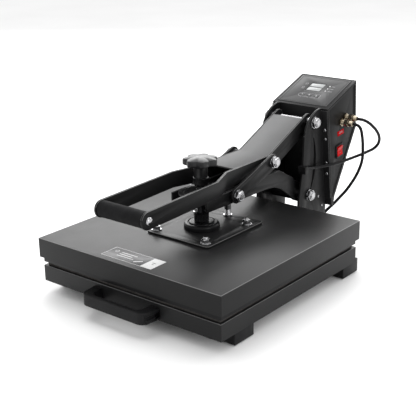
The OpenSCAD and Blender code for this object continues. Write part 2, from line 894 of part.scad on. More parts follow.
module pressure_foot() {
    lip = 3;
    color("#232325") in_frame() translate([0, 0, mount_top]) difference() {
        union() {
            cylinder(r = foot_r, h = 7.5);
            translate([0, 0, 7.5]) cylinder(r1 = foot_r, r2 = foot_r - 3, h = 2.5);
            cylinder(r = 17, h = 12);
        }
        translate([0, 0, 8]) difference() {
            cylinder(r = foot_r - 3 - lip, h = 5);
            translate([0, 0, -1]) cylinder(r = 17, h = 7);
        }
        translate([0, 0, 2]) cylinder(r = screw_r + run_gap, h = 20);
    }
}

// ---------- pressure screw ----------

module pressure_screw() {
    color("#3c3c3e") in_frame() translate([0, 0, mount_top + 2.4])
        cylinder(r = screw_r, h = knob_top - 6 - mount_top - 2.4);
}
module thrust_collar() {
    flutes = 12;
    color("#1c1c1e") in_frame() translate([0, 0, foot_top + 0.4]) difference() {
        cylinder(r = 13, h = 15.6);
        translate([0, 0, -1]) cylinder(r = screw_r, h = 18);
        for (k = [0 : flutes - 1]) rotate(k * 360 / flutes) translate([14.2, 0, 3]) cylinder(r = 2.2, h = 14);
    }
}
module knob() {
    dome_r = 120;
    color("#1a1a1c") in_frame() difference() {
        union() {
            translate([0, 0, ring_low]) cylinder(r = 14, h = ring_top - ring_low);
            translate([0, 0, ring_top]) cylinder(r = 12.5, h = hub_top - ring_top);
            intersection() {
                translate([0, 0, hub_top]) linear_extrude(knob_top - hub_top) {
                    circle(knob_r - 6);
                    for (k = [0 : knob_lobes - 1]) rotate(k * 360 / knob_lobes + 12)
                        translate([knob_r - 9.5, 0]) circle(9.5);
                }
                translate([0, 0, knob_top - dome_r]) sphere(r = dome_r, $fn = 96);
            }
        }
        translate([0, 0, ring_low - 1]) cylinder(r = screw_r, h = knob_top - 6 - ring_low + 1);
    }
}

cross_tubes();
long_tubes();
tube_end_caps();
rubber_feet();
drawer_rails();
upright_left();
upright_right();
upright_web();
frame_screws();
lever_pivot_shaft();
arm_pivot_shaft();
pivot_spacers();
upright_pivot_nuts();
box_case();
box_sides();
control_panel();
display_window();
indicator_lights();
control_board();
key_mode();
key_down();
key_up();
switch_bezel();
switch_rocker();
cable_glands();
power_inlet();
web_grommet();
lead_clip();
heater_lead();
sensor_lead();
tray_shell();
silicone_pad();
pull_handle();
drawer_runners();
arm_top();
arm_sides();
arm_pivot_tube();
screw_nut();
arm_link_shaft();
lever_bar_left();
lever_bar_right();
lever_top();
handle_rod();
handle_grip();
link_left();
link_right();
link_pivot_shaft();
link_lower_bolts();
link_spacers();
link_nuts();
platen_cover();
insulation_board();
heating_plate();
mount_plate();
mount_bolts();
guide_post();
pressure_foot();
pressure_screw();
thrust_collar();
knob();
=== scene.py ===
"""Heat press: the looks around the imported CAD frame. Metres, in the CAD's own frame."""
import json
import math

import bmesh
import bpy
from mathutils import Matrix, Vector


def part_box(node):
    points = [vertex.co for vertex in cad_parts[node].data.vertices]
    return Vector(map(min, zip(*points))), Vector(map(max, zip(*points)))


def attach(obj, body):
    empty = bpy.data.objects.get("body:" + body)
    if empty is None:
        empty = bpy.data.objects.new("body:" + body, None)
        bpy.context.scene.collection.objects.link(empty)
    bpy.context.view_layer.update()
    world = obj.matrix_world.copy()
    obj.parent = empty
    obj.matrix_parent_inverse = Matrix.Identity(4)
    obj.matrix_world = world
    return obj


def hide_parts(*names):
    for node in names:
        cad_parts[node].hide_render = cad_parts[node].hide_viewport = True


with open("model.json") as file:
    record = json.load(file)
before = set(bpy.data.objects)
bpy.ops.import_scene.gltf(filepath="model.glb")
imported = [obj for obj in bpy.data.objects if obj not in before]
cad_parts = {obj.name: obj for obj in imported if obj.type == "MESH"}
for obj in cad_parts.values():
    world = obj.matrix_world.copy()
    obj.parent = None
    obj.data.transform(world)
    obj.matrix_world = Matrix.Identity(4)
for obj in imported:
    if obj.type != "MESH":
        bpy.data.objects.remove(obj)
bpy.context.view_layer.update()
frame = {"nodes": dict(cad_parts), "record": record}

MM = 0.001
BODY = {n: body for body, members in frame["record"]["behaviour"]["bodies"].items() for n in members}
SLOT = {s["node"]: s["material_slot"] for s in frame["record"]["subparts"]}


def centre(node):
    low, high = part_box(node)
    return (low + high) / 2


# ---- camera

CAMERA_AT = Vector((0.975, -1.26375, 0.6744))
CAMERA_AZIMUTH = math.radians(39.29)
CAMERA_ELEVATION = math.radians(19.28)
CAMERA_ROLL = math.radians(-1.06)
CAMERA_LENS = 80.69


def make_camera():
    data = bpy.data.cameras.new("camera")
    data.sensor_width = 36
    data.lens = CAMERA_LENS
    data.clip_start, data.clip_end = 0.05, 50
    az, el, roll = CAMERA_AZIMUTH, CAMERA_ELEVATION, CAMERA_ROLL
    back = Vector((math.sin(az) * math.cos(el), -math.cos(az) * math.cos(el), math.sin(el)))
    right = Vector((math.cos(az), math.sin(az), 0))
    up = back.cross(right)
    x = right * math.cos(roll) + up * math.sin(roll)
    y = up * math.cos(roll) - right * math.sin(roll)
    camera = bpy.data.objects.new("camera", data)
    camera.matrix_world = Matrix.Translation(CAMERA_AT) @ Matrix((x, y, back)).transposed().to_4x4()
    bpy.context.scene.collection.objects.link(camera)
    bpy.context.scene.camera = camera


make_camera()


# ---- materials

class Nodes:
    """A small helper for building one material's node tree."""

    def __init__(self, name):
        self.material = bpy.data.materials.new(name)
        self.material.use_nodes = True
        self.tree = self.material.node_tree
        self.shader = self.tree.nodes["Principled BSDF"]
        self.coordinates = self.add("ShaderNodeTexCoord").outputs["Object"]

    def add(self, kind, **values):
        node = self.tree.nodes.new(kind)
        for key, value in values.items():
            setattr(node, key, value)
        return node

    def link(self, source, target):
        self.tree.links.new(source, target)

    def noise(self, size, detail=4.0, roughness=0.55, stretch=None):
        """Noise whose features are about size metres across, stretched along an axis if asked."""
        node = self.add("ShaderNodeTexNoise")
        node.inputs["Scale"].default_value = 1 / size
        node.inputs["Detail"].default_value = detail
        node.inputs["Roughness"].default_value = roughness
        source = self.coordinates
        if stretch:
            mapping = self.add("ShaderNodeMapping")
            mapping.inputs["Scale"].default_value = stretch
            self.link(source, mapping.inputs["Vector"])
            source = mapping.outputs["Vector"]
        self.link(source, node.inputs["Vector"])
        return node.outputs["Fac"]

    def cells(self, size):
        """Distance from the middle of round cells about size metres across."""
        node = self.add("ShaderNodeTexVoronoi")
        node.inputs["Scale"].default_value = 1 / size
        self.link(self.coordinates, node.inputs["Vector"])
        return node.outputs["Distance"]

    def ramp(self, source, low, high, start=0.3, end=0.7):
        """A number or a colour that goes from low to high as source goes from start to end."""
        if isinstance(low, tuple):
            node = self.add("ShaderNodeValToRGB")
            for element, place, colour in zip(node.color_ramp.elements, (start, end), (low, high)):
                element.position = place
                element.color = (*colour, 1)
            self.link(source, node.inputs["Fac"])
            return node.outputs["Color"]
        node = self.add("ShaderNodeMapRange")
        for key, value in zip(("From Min", "From Max", "To Min", "To Max"), (start, end, low, high)):
            node.inputs[key].default_value = value
        self.link(source, node.inputs["Value"])
        return node.outputs["Result"]

    def mix(self, factor, a, b):
        node = self.add("ShaderNodeMix", data_type="RGBA")
        self.link(factor, node.inputs["Factor"])
        for value, socket in ((a, node.inputs["A"]), (b, node.inputs["B"])):
            if isinstance(value, tuple):
                socket.default_value = (*value, 1)
            else:
                self.link(value, socket)
        return node.outputs["Result"]

    def bump(self, source, depth, before=None):
        node = self.add("ShaderNodeBump")
        node.inputs["Strength"].default_value = 1.0
        node.inputs["Distance"].default_value = depth
        self.link(source, node.inputs["Height"])
        if before is not None:
            self.link(before, node.inputs["Normal"])
        return node.outputs["Normal"]

    def finish(self, colour=None, roughness=None, normal=None, **constants):
        for key, value in (("Base Color", colour), ("Roughness", roughness), ("Normal", normal)):
            if value is not None:
                self.link(value, self.shader.inputs[key])
        for key, value in constants.items():
            self.shader.inputs[key.replace("_", " ")].default_value = value
        return self.material


def tint(colour, factor):
    return tuple(min(1.0, c * factor) for c in colour)


def powder_coat(name, colour, gloss=0.42, peel=0.00004, shine=0.13):
    """Baked powder coat: fine orange peel, faint mottling and specks of dust."""
    n = Nodes(name)
    mottle = n.ramp(n.noise(0.05, 3), tint(colour, 0.93), tint(colour, 1.07))
    speck = n.mix(n.ramp(n.noise(0.0011, 2), 0.0, 0.22, 0.62, 0.8), mottle, tint(colour, 2.0))
    rough = n.ramp(n.noise(0.03, 5), gloss - 0.01, gloss + 0.02)
    normal = n.bump(n.noise(0.0022, 2, 0.4), peel)
    normal = n.bump(n.noise(0.0006, 2), peel * 0.35, normal)
    return n.finish(speck, rough, normal, Specular_IOR_Level=shine)


def bright_metal(name, colour, rough, grain, stretch=None):
    """Plated or turned metal with fine tool marks and a few dull smudges."""
    n = Nodes(name)
    shade = n.ramp(n.noise(0.006, 4), tint(colour, 0.86), colour)
    marks = n.noise(0.0007, 3, stretch=stretch)
    smudge = n.ramp(n.noise(0.009, 4), rough, rough + 0.14, 0.45, 0.75)
    return n.finish(shade, smudge, n.bump(marks, grain), Metallic=1.0)


def moulded(name, colour, rough=0.42, grain=0.00003, coat=0.0, shine=0.16):
    """Moulded plastic: fine spark-eroded grain and slight flow marks."""
    n = Nodes(name)
    flow = n.ramp(n.noise(0.03, 4, stretch=(1, 0.4, 1)), tint(colour, 0.85), tint(colour, 1.2))
    rough_map = n.ramp(n.noise(0.008, 4), rough - 0.05, rough + 0.08)
    return n.finish(flow, rough_map, n.bump(n.noise(0.0008, 3), grain), Coat_Weight=coat,
                    Coat_Roughness=0.12, Specular_IOR_Level=shine)


def soft_rubber(name, colour, rough=0.72, pores=0.0009, depth=0.00008):
    """Rubber or foam: matt, with fine closed pores painted darker as shade in the pits, and a dusty bloom.
    """
    n = Nodes(name)
    bloom = n.ramp(n.noise(0.02, 5), tint(colour, 0.8), tint(colour, 1.45))
    # Each pore is painted darker: painted shade inside the pits.
    pores_painted_shade = n.mix(n.ramp(n.cells(pores), 0.35, 0.0, 0.0, 0.35), bloom, tint(colour, 0.45))
    rough_map = n.ramp(n.noise(0.012, 3), rough - 0.06, rough + 0.1)
    normal = n.bump(n.noise(0.0005, 2), depth * 0.4, n.bump(n.cells(pores), depth))
    return n.finish(pores_painted_shade, rough_map, normal, Specular_IOR_Level=0.12)


def printed(name, colour, rough=0.4, glow=0.0, shine=0.15):
    """Ink or film: thin speckle in the print and an even sheen."""
    n = Nodes(name)
    speckle = n.ramp(n.noise(0.0008, 3), tint(colour, 0.86), tint(colour, 1.06), 0.35, 0.65)
    sheen = n.ramp(n.noise(0.01, 3), rough - 0.05, rough + 0.06)
    light = dict(Emission_Color=(*colour, 1), Emission_Strength=glow) if glow else {}
    return n.finish(speckle, sheen, n.bump(n.noise(0.0012, 2), 0.00001), Specular_IOR_Level=shine, **light)


def lit_red(name):
    """Translucent red rocker: deep clear plastic with streaks, faintly lit from inside."""
    n = Nodes(name)
    body = n.ramp(n.noise(0.004, 4, stretch=(1, 1, 0.3)), (0.30, 0.002, 0.004), (0.48, 0.003, 0.006))
    return n.finish(body, n.ramp(n.noise(0.003, 3), 0.24, 0.36), n.bump(n.noise(0.0011, 2), 0.00002),
                    Specular_IOR_Level=0.06, Emission_Color=(0.9, 0.02, 0.02, 1), Emission_Strength=0.08)


def fibre_board(name):
    """Pressed ceramic fibre: matt, pale and stringy."""
    n = Nodes(name)
    fibres = n.noise(0.0015, 5, 0.7, stretch=(1, 0.15, 1))
    return n.finish(n.ramp(fibres, (0.5, 0.44, 0.34), (0.78, 0.72, 0.6)), n.ramp(fibres, 0.85, 0.97),
                    n.bump(fibres, 0.0002))


COATED = powder_coat("coated_frame", (0.0075, 0.0075, 0.0078))
COATED_DARK = powder_coat("coated_arm", (0.0055, 0.0055, 0.0058), gloss=0.4)
COVER = powder_coat("coated_cover", (0.0085, 0.0085, 0.0088), gloss=0.4, shine=0.17)
# The two edge coats are much lighter copies of the coat, used on rounded edges that face up: painted
# highlight for the light those edges catch.
COATED_PAINTED_HIGHLIGHT = powder_coat("coated_painted_highlight", (0.065, 0.065, 0.066), gloss=0.36)
COVER_PAINTED_HIGHLIGHT = powder_coat("coated_cover_painted_highlight", (0.14, 0.14, 0.14), gloss=0.34)
# The lever's top plate takes a copy of the black coat about ten times lighter: painted light for the light
# its upper face catches.
LEVER_TOP_PAINTED_LIT = powder_coat("coated_lever_top_painted_lit", (0.085, 0.085, 0.086), gloss=0.46)
BOX_COAT = powder_coat("coated_box", (0.0085, 0.0085, 0.0088), gloss=0.46)
PANEL = powder_coat("panel_film", (0.058, 0.058, 0.059), gloss=0.5, peel=0.00001)
CHROME = bright_metal("chrome", (0.46, 0.46, 0.47), 0.13, 0.00001)
STEEL = bright_metal("drawn_steel", (0.46, 0.47, 0.48), 0.3, 0.00002, stretch=(1, 0.08, 1))
NICKEL = bright_metal("nickelled_brass", (0.42, 0.36, 0.27), 0.18, 0.00001)
BLACK_OXIDE = bright_metal("black_oxide", (0.03, 0.03, 0.032), 0.34, 0.00002)
CAST_BLACK = powder_coat("black_turned", (0.005, 0.005, 0.0055), gloss=0.28)
GRIP = soft_rubber("foam_grip", (0.007, 0.007, 0.0075), 0.78)
RUBBER = soft_rubber("moulded_rubber", (0.008, 0.008, 0.0085), 0.62, 0.0006, 0.00003)
JACKET = soft_rubber("lead_jacket", (0.005, 0.005, 0.0055), 0.38, 0.0007, 0.00001)
SILICONE = soft_rubber("silicone_sheet", (0.045, 0.042, 0.04), 0.8, 0.0016, 0.00006)
PLASTIC = moulded("black_plastic", (0.006, 0.006, 0.0065), 0.44)
KNOB = moulded("phenolic_knob", (0.008, 0.008, 0.0085), 0.34, 0.00001, coat=0.04, shine=0.3)
KEY = moulded("key_film", (0.075, 0.075, 0.077), 0.5)
RED = lit_red("lit_red_rocker")
RED_LABEL = printed("red_label", (0.36, 0.002, 0.005), 0.45, shine=0.02)
WHITE_INK = printed("white_ink", (0.6, 0.6, 0.6), 0.45)
GREY_INK = printed("grey_ink", (0.3, 0.3, 0.305), 0.45)
DARK_INK = printed("dark_ink", (0.006, 0.006, 0.006), 0.5)
LABEL_GREY = printed("label_film", (0.05, 0.05, 0.052), 0.34)
LABEL_WHITE = printed("label_white", (0.5, 0.5, 0.5), 0.32)
SCREEN = printed("lit_screen", (0.36, 0.37, 0.37), 0.2, glow=0.1)
LAMP = printed("lit_lamp", (0.75, 0.75, 0.75), 0.2, glow=0.35)
BOARD = printed("circuit_board", (0.03, 0.12, 0.05), 0.4)
HEATER = powder_coat("plate_coating", (0.007, 0.007, 0.0075), gloss=0.36)
FIBRE = fibre_board("ceramic_fibre")
NYLON = printed("nylon_ring", (0.55, 0.56, 0.58), 0.5)
PIN_BRASS = bright_metal("inlet_pins", (0.75, 0.62, 0.36), 0.18, 0.00001)


# ---- mesh helpers

def piece(name, bm, material, body, stands_for=(), slot=None, sharp=32, smooth=True):
    """Turns a bmesh, already in the row frame, into a piece that rides on a body."""
    bmesh.ops.recalc_face_normals(bm, faces=bm.faces)
    mesh = bpy.data.meshes.new(name)
    bm.to_mesh(mesh)
    bm.free()
    for m in material if isinstance(material, (list, tuple)) else [material]:
        mesh.materials.append(m)
    if smooth:
        mesh.polygons.foreach_set("use_smooth", [True] * len(mesh.polygons))
    mesh.set_sharp_from_angle(angle=math.radians(sharp))
    made = bpy.data.objects.new(name, mesh)
    bpy.context.scene.collection.objects.link(made)
    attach(made, body)
    if stands_for:
        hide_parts(*stands_for)
        slot = slot or SLOT[stands_for[0]]
    return made


def remade(node, part, bm, material, **more):
    """A finished piece that takes a CAD node's place."""
    return piece(f"{node}.{part}", bm, material, BODY[node], [node], **more)


def mm(*rows):
    """Rows of numbers in millimetres, as metres."""
    return [tuple(value * MM for value in row) for row in rows]


def facing(point, direction):
    """A place whose local Z points along direction, from point."""
    return Matrix.Translation(point) @ Vector(direction).to_track_quat("Z", "Y").to_matrix().to_4x4()


def band(bm, a, b):
    """A strip of faces between two closed loops of vertices."""
    for k in range(len(a)):
        k2 = (k + 1) % len(a)
        bm.faces.new((a[k], a[k2], b[k2], b[k]))


def turned(place, rows, segments=64, bm=None, closed=False):
    """A turned shape. A row is (radius, height), or a function of the angle that gives them."""
    bm = bm or bmesh.new()
    rings = []
    for row in rows:
        if not callable(row) and row[0] == 0:
            rings.append([bm.verts.new(place @ Vector((0, 0, row[1])))])
            continue
        ring = []
        for k in range(segments):
            angle = 2 * math.pi * k / segments
            radius, height = row(angle) if callable(row) else row
            point = Vector((radius * math.cos(angle), radius * math.sin(angle), height))
            ring.append(bm.verts.new(place @ point))
        rings.append(ring)
    pairs = list(zip(rings, rings[1:])) + ([(rings[-1], rings[0])] if closed else [])
    for a, b in pairs:
        if len(a) == len(b):
            band(bm, a, b)
            continue
        for k in range(segments):
            k2 = (k + 1) % segments
            bm.faces.new((a[0], b[k], b[k2]) if len(a) == 1 else (a[k2], a[k], b[0]))
    return bm


def fillet(points, radius, steps=4):
    """A profile with its inner corners rounded."""
    made = [tuple(points[0])]
    for before, here, after in zip(points, points[1:], points[2:]):
        b, p, a = Vector(before), Vector(here), Vector(after)
        reach = min(radius, (b - p).length * 0.45, (a - p).length * 0.45)
        start, end = p + (b - p).normalized() * reach, p + (a - p).normalized() * reach
        for k in range(steps + 1):
            s = k / steps
            q = start * (1 - s) ** 2 + p * 2 * s * (1 - s) + end * s * s
            made.append((q.x, q.y))
    made.append(tuple(points[-1]))
    return made


def barrel(low, high):
    """The middle, radius and half length of a round solid along X, from its box."""
    return (low + high) / 2, (high.z - low.z) / 2, (high.x - low.x) / 2


def column(low, high):
    """The middle, radius and height of a round solid along Z, from its box."""
    return (low + high) / 2, (high.x - low.x) / 2, high.z - low.z


def moved(place, x, y, z):
    """A place shifted along its own axes, in millimetres."""
    return place @ Matrix.Translation(Vector((x, y, z)) * MM)


def cuboid(bm, place, size, at=(0, 0, 0), round_edges=0.0):
    """A block with its middle at a point of a place and its edges rounded, in millimetres."""
    made = bmesh.ops.create_cube(bm, size=MM, matrix=moved(place, *at) @ Matrix.Diagonal((*size, 1)))
    if round_edges:
        edges = list({e for v in made["verts"] for e in v.link_edges})
        bmesh.ops.bevel(bm, geom=edges, offset=round_edges * MM, segments=2, profile=0.5, affect="EDGES")


def frame_line(bm, place, at, size, width, height):
    """A flat rectangular outline, such as a printed border, in millimetres."""
    w, h = size
    for sx in (-1, 1):
        cuboid(bm, place, (width, h, height), (at[0] + sx * (w - width) / 2, at[1], at[2]))
    for sy in (-1, 1):
        cuboid(bm, place, (w - 2 * width, width, height), (at[0], at[1] + sy * (h - width) / 2, at[2]))


def cad_mesh(node):
    """A CAD node's mesh as a bmesh, its split vertices joined."""
    bm = bmesh.new()
    bm.from_mesh(frame["nodes"][node].data)
    bmesh.ops.remove_doubles(bm, verts=bm.verts, dist=0.000004)
    return bm


def sheet_width(face):
    """How wide a long, narrow face is."""
    return 2 * face.calc_area() / sum(e.calc_length() for e in face.edges)


def formed(node, material, edge, segments=2, rim=None, thin=False):
    """A CAD node's own shape with its edges rounded, as bending, cutting and coating leave them.

    The edge is in millimetres, and rounded edges that face up take the rim material, a lighter copy of the
    coat that paints a highlight where those edges catch the light. In a thin node, a face too narrow for
    two rounded edges, such as a sheet's cut edge, keeps its sharp ones.
    """
    bm = cad_mesh(node)
    bmesh.ops.dissolve_limit(bm, angle_limit=math.radians(0.5), verts=bm.verts, edges=bm.edges)
    corners = {e for e in bm.edges if len(e.link_faces) == 2 and e.calc_face_angle(0) > math.radians(28)}
    edges = [e for e in bm.edges if e in corners]
    if thin:
        edges = [e for e in edges if all(sheet_width(f) >= 2.2 * edge * MM for f in e.link_faces)]
    for f in bm.faces:
        f.smooth = any(e not in corners and e.calc_face_angle(0) > math.radians(1) for e in f.edges)
    made = bmesh.ops.bevel(bm, geom=edges, offset=edge * MM, segments=segments, profile=0.5, affect="EDGES",
                           clamp_overlap=False)
    bm.normal_update()
    for f in made["faces"]:
        f.smooth = True
        # Rounded faces that point up take the lighter rim coat: a painted highlight, not a different finish.
        f.material_index = int(rim is not None and f.normal.z > 0.3)
    materials = [material, rim] if rim else material
    return remade(node, "formed", bm, materials, smooth=False)


def dressed(node, material):
    """A CAD node that stays as it is, with its material."""
    data = frame["nodes"][node].data
    data.materials.clear()
    data.materials.append(material)


# ---- leads

PLATEN_Y = 90.25
HEATER_ROUTE = [
    (62, 368, 237.5), (90, 368, 237.5), (97, 368.5, 237.5), (104, 371, 236), (110, 377, 231),
    (114, 386, 223), (116, 397, 213), (116, 408, 201), (113, 417, 189), (108, 421, 178),
    (101, 418, 169), (94, 409, 164), (87, 395, 160), (80, 376, 157), (75, 356, 155),
    (71, 337, 154), (68, 320, 154), (63, 304, 154.5), (58, 289, 155), (55, 275, 156),
    (54, 262, 158), (53.7, 252, 160), (53.7, 242, 160)]
SENSOR_ROUTE = [
    (62, 353, 230.5), (90, 353, 230.5), (96, 353.5, 230), (101, 356, 227), (103.5, 360, 220),
    (103, 366, 207), (101, 373, 192), (98, 380, 174), (95, 385, 156), (90, 387, 138),
    (84, 384, 120), (77, 377, 103), (70, 368, 88), (62, 358, 75), (54, 350, 63),
    (46, 344, 53), (40, 338, 45), (36.5, 331, 40.6), (36, 325, 40), (36, 319, 40)]
LEAD_D = 6 * MM


def smooth_route(points, steps=6):
    """A Catmull-Rom curve through the points, in metres in the row frame."""
    p = [Vector((x, y - PLATEN_Y, z)) * MM for x, y, z in points]
    made = []
    for i in range(len(p) - 1):
        a, b, c, d = p[max(i - 1, 0)], p[i], p[i + 1], p[min(i + 2, len(p) - 1)]
        for k in range(steps):
            t = k / steps
            made.append(0.5 * (2 * b + (c - a) * t + (2 * a - 5 * b + 4 * c - d) * t * t
                               + (3 * b - a - 3 * c + d) * t ** 3))
    return made + [p[-1]]


def lead(name, node, route):
    path = smooth_route(route)
    curve = bpy.data.curves.new(name, "CURVE")
    curve.dimensions = "3D"
    curve.bevel_depth = LEAD_D / 2
    curve.bevel_resolution = 5
    curve.use_fill_caps = True
    spline = curve.splines.new("POLY")
    spline.points.add(len(path) - 1)
    for point, place in zip(spline.points, path):
        point.co = (*place, 1)
    spline.use_smooth = True
    curve.materials.append(JACKET)
    made = bpy.data.objects.new(name, curve)
    bpy.context.scene.collection.objects.link(made)
    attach(made, "root")
    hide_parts(node)


lead("heater_lead.jacket", "heater_lead", HEATER_ROUTE)
lead("sensor_lead.jacket", "sensor_lead", SENSOR_ROUTE)


# ---- fasteners

def hexagon(flat, angle):
    """How far a hexagon's side is from its middle, at an angle."""
    turn = (angle + math.pi / 6) % (math.pi / 3) - math.pi / 6
    return flat / 2 / math.cos(turn)


def nut_rows(flat, height, bore, turn=0.0, collar=0.0):
    """A chamfered hexagon nut, with a rounded locking collar on top if asked."""
    inner = flat / 2 * 0.97

    def side(top):
        def row(angle):
            reach = hexagon(flat, angle + turn)
            cut = (reach - inner) * 0.5
            return reach, height - cut if top else cut
        return row
    rows = [(bore, 0), (inner * 0.98, 0), side(False), side(True), (inner, height)]
    if collar:
        tall = height + collar
        rows += fillet([(inner * 0.93, height), (inner * 0.86, tall), (bore + 1.1 * MM, tall),
                        (bore + 0.9 * MM, tall - 0.8 * MM), (bore, tall - 0.8 * MM)], 0.8 * MM)
    else:
        rows += [(bore + 0.6 * MM, height), (bore, height - 0.5 * MM)]
    return rows


def washer_rows(outer, bore, thick):
    """A flat washer with its outer edges rounded."""
    e = 0.25 * MM
    return [(bore, 0), (outer - e, 0), (outer, e), (outer, thick - e), (outer - e, thick), (bore, thick)]


def toothed_rows(outer, bore, thick, teeth=18):
    """A serrated lock washer: its rim is cut into twisted teeth."""
    def rim(height):
        def row(angle):
            wave = math.cos(teeth * angle)
            return outer - (0.9 * MM if wave < 0 else 0), height + 0.18 * MM * wave
        return row
    root = outer * 0.86
    return [(bore, 0), (root, 0), rim(0.3 * MM), rim(thick - 0.3 * MM), (root, thick), (bore, thick)]


def thread_rows(radius, start, end, pitch, depth, steps=4):
    """Rows of a helical thread between two heights."""
    def row(height):
        def at(angle):
            phase = (height / pitch - angle / (2 * math.pi)) % 1
            return radius - depth * abs(2 * phase - 1), height
        return at
    count = round((end - start) / pitch * steps)
    return [row(start + (end - start) * k / count) for k in range(count + 1)]


def bolt_rows(radius, half, threaded):
    """A long bolt, threaded and chamfered at both ends."""
    top = [(radius, half - threaded)]
    top += thread_rows(radius, half - threaded, half - 0.8 * MM, PIVOT_PITCH, 0.5 * MM)
    top += [(radius - 0.7 * MM, half), (0, half)]

    def mirrored(row):
        if callable(row):
            return lambda angle: (row(-angle)[0], -row(-angle)[1])
        return row[0], -row[1]
    return [mirrored(r) for r in reversed(top)] + top


def pan_head(bm, place, radius, height):
    """A domed screw head with a cross recess."""
    rings = 12
    arm, reach, deep = radius * 0.13, radius * 0.55, height * 0.5

    def row(share):
        def at(angle):
            r = radius * share
            x, y = abs(r * math.cos(angle)), abs(r * math.sin(angle))
            dome = height * math.sqrt(max(0.0, 1 - 0.72 * share ** 2)) if share < 1 else height * 0.4
            inside = r < reach and min(x, y) < arm
            return r, dome - (deep if inside else 0)
        return at
    rows = [(radius, 0)] + [row(k / rings) for k in range(rings, 0, -1)] + [(0, height - deep)]
    turned(place, rows, 48, bm)


PIVOT_BORE = 6.05 * MM
PIVOT_PITCH = 1.75 * MM
PIVOT_THREAD = 9 * MM
NUT_FLAT = 19 * MM
WASHER = 1.6 * MM
PLATE = 4 * MM


def lock_nut(bm, rings, point, direction, turn):
    """A washer, a nut with a locking collar and its nylon ring, seated at a point."""
    place = facing(point, direction)
    bore = PIVOT_BORE
    turned(place, washer_rows(11 * MM, bore, WASHER), 72, bm, closed=True)
    seat = place @ Matrix.Translation((0, 0, WASHER))
    turned(seat, nut_rows(NUT_FLAT, 5.6 * MM, bore, turn, 2.2 * MM), 72, bm, closed=True)
    ring = [(bore, 6.9 * MM), (bore + 1 * MM, 6.9 * MM), (bore + 1 * MM, 7.2 * MM), (bore, 7.2 * MM)]
    turned(seat, ring, 48, rings, closed=True)


def pivot_nuts(node, upper, lower, face):
    """Lock nuts on both ends of two pivots. Those of the lower one have a black toothed washer too."""
    nuts, rings, teeth = bmesh.new(), bmesh.new(), bmesh.new()
    places = [(Vector((sign * face, p.y, p.z)), sign) for p in (upper, lower) for sign in (-1, 1)]
    for index, (point, sign) in enumerate(places):
        lock_nut(nuts, rings, point, (sign, 0, 0), 0.35 + 0.4 * index)
        if index >= 2:
            tooth = facing(point + Vector((sign * 0.01 * MM, 0, 0)), (sign, 0, 0))
            turned(tooth, toothed_rows(11.4 * MM, 11.02 * MM, 1.5 * MM), 144, teeth, closed=True)
    remade(node, "turned", nuts, CHROME, sharp=28)
    piece(node + ".turned.rings", rings, NYLON, BODY[node])
    piece(node + ".turned.teeth", teeth, BLACK_OXIDE, BODY[node])


def upright_outer():
    """How far the outer faces of the two upright plates are from the middle plane."""
    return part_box("upright_right")[0].x + PLATE


def make_pivots():
    for node in ("lever_pivot_shaft", "arm_pivot_shaft", "link_pivot_shaft"):
        mid, radius, half = barrel(*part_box(node))
        bm = turned(facing(mid, (1, 0, 0)), bolt_rows(radius, half, PIVOT_THREAD))
        remade(node, "bolt", bm, CHROME)
    # the lower link bolts are two stubs, one on each side
    mid, radius, outer = barrel(*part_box("link_lower_bolts"))
    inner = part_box("arm_link_shaft")[1].x + 0.3 * MM
    bm = bmesh.new()
    for sign in (-1, 1):
        place = facing(Vector((0, mid.y, mid.z)), (sign, 0, 0))
        rows = [(0, inner), (radius, inner), (radius, outer - PIVOT_THREAD)]
        rows += thread_rows(radius, outer - PIVOT_THREAD, outer - 0.8 * MM, PIVOT_PITCH, 0.5 * MM)
        turned(place, rows + [(radius - 0.7 * MM, outer), (0, outer)], 64, bm)
    remade("link_lower_bolts", "turned", bm, CHROME)
    pivot_nuts("upright_pivot_nuts", centre("lever_pivot_shaft"), centre("arm_pivot_shaft"), upright_outer())
    pivot_nuts("link_nuts", centre("link_pivot_shaft"), mid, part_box("link_right")[1].x)


make_pivots()


def make_frame_screws():
    """Screws in the flanges that hold the box, and in the foot of each upright."""
    heads, bolts = bmesh.new(), bmesh.new()
    for low, high in loose_parts("frame_screws"):
        mid = (low + high) / 2
        side = math.copysign(1, mid.x)
        on_upright = facing(Vector((side * upright_outer(), mid.y, mid.z)), (side, 0, 0))
        if high.z - low.z > 8 * MM:
            turned(on_upright, hexagon_head(9 * MM, 3.8 * MM), 48, bolts)
        elif abs(mid.x) > upright_outer() + 3 * MM:
            tilt = math.radians(6.6)
            out = Vector((0, -math.cos(tilt), -math.sin(tilt)))
            pan_head(heads, facing(mid - out * 1.1 * MM, out), 3 * MM, 2.1 * MM)
        else:
            pan_head(heads, on_upright, 2.6 * MM, 1.9 * MM)
    remade("frame_screws", "heads", heads, CHROME)
    piece("frame_screws.bolts", bolts, BLACK_OXIDE, "root")


def hexagon_head(flat, height):
    """A chamfered hexagon head with a pressed washer face."""
    inner = flat / 2 * 0.95

    def rim(angle):
        reach = hexagon(flat, angle)
        return reach, height - (reach - inner) * 0.5
    return [(flat * 0.62, 0), (flat * 0.62, 0.8 * MM), lambda angle: (hexagon(flat, angle), 0.8 * MM), rim,
            (inner, height), (inner * 0.5, height - 0.2 * MM), (0, height - 0.2 * MM)]


def loose_parts(node):
    """The box of each separate solid in a CAD node."""
    bm = cad_mesh(node)
    seen, found = set(), []
    for start in bm.verts:
        if start in seen:
            continue
        group, queue = [], [start]
        seen.add(start)
        while queue:
            v = queue.pop()
            group.append(v.co.copy())
            for e in v.link_edges:
                other = e.other_vert(v)
                if other not in seen:
                    seen.add(other)
                    queue.append(other)
        found.append((Vector(map(min, zip(*group))), Vector(map(max, zip(*group)))))
    bm.free()
    return found


make_frame_screws()


# ---- sheet metal and tubes

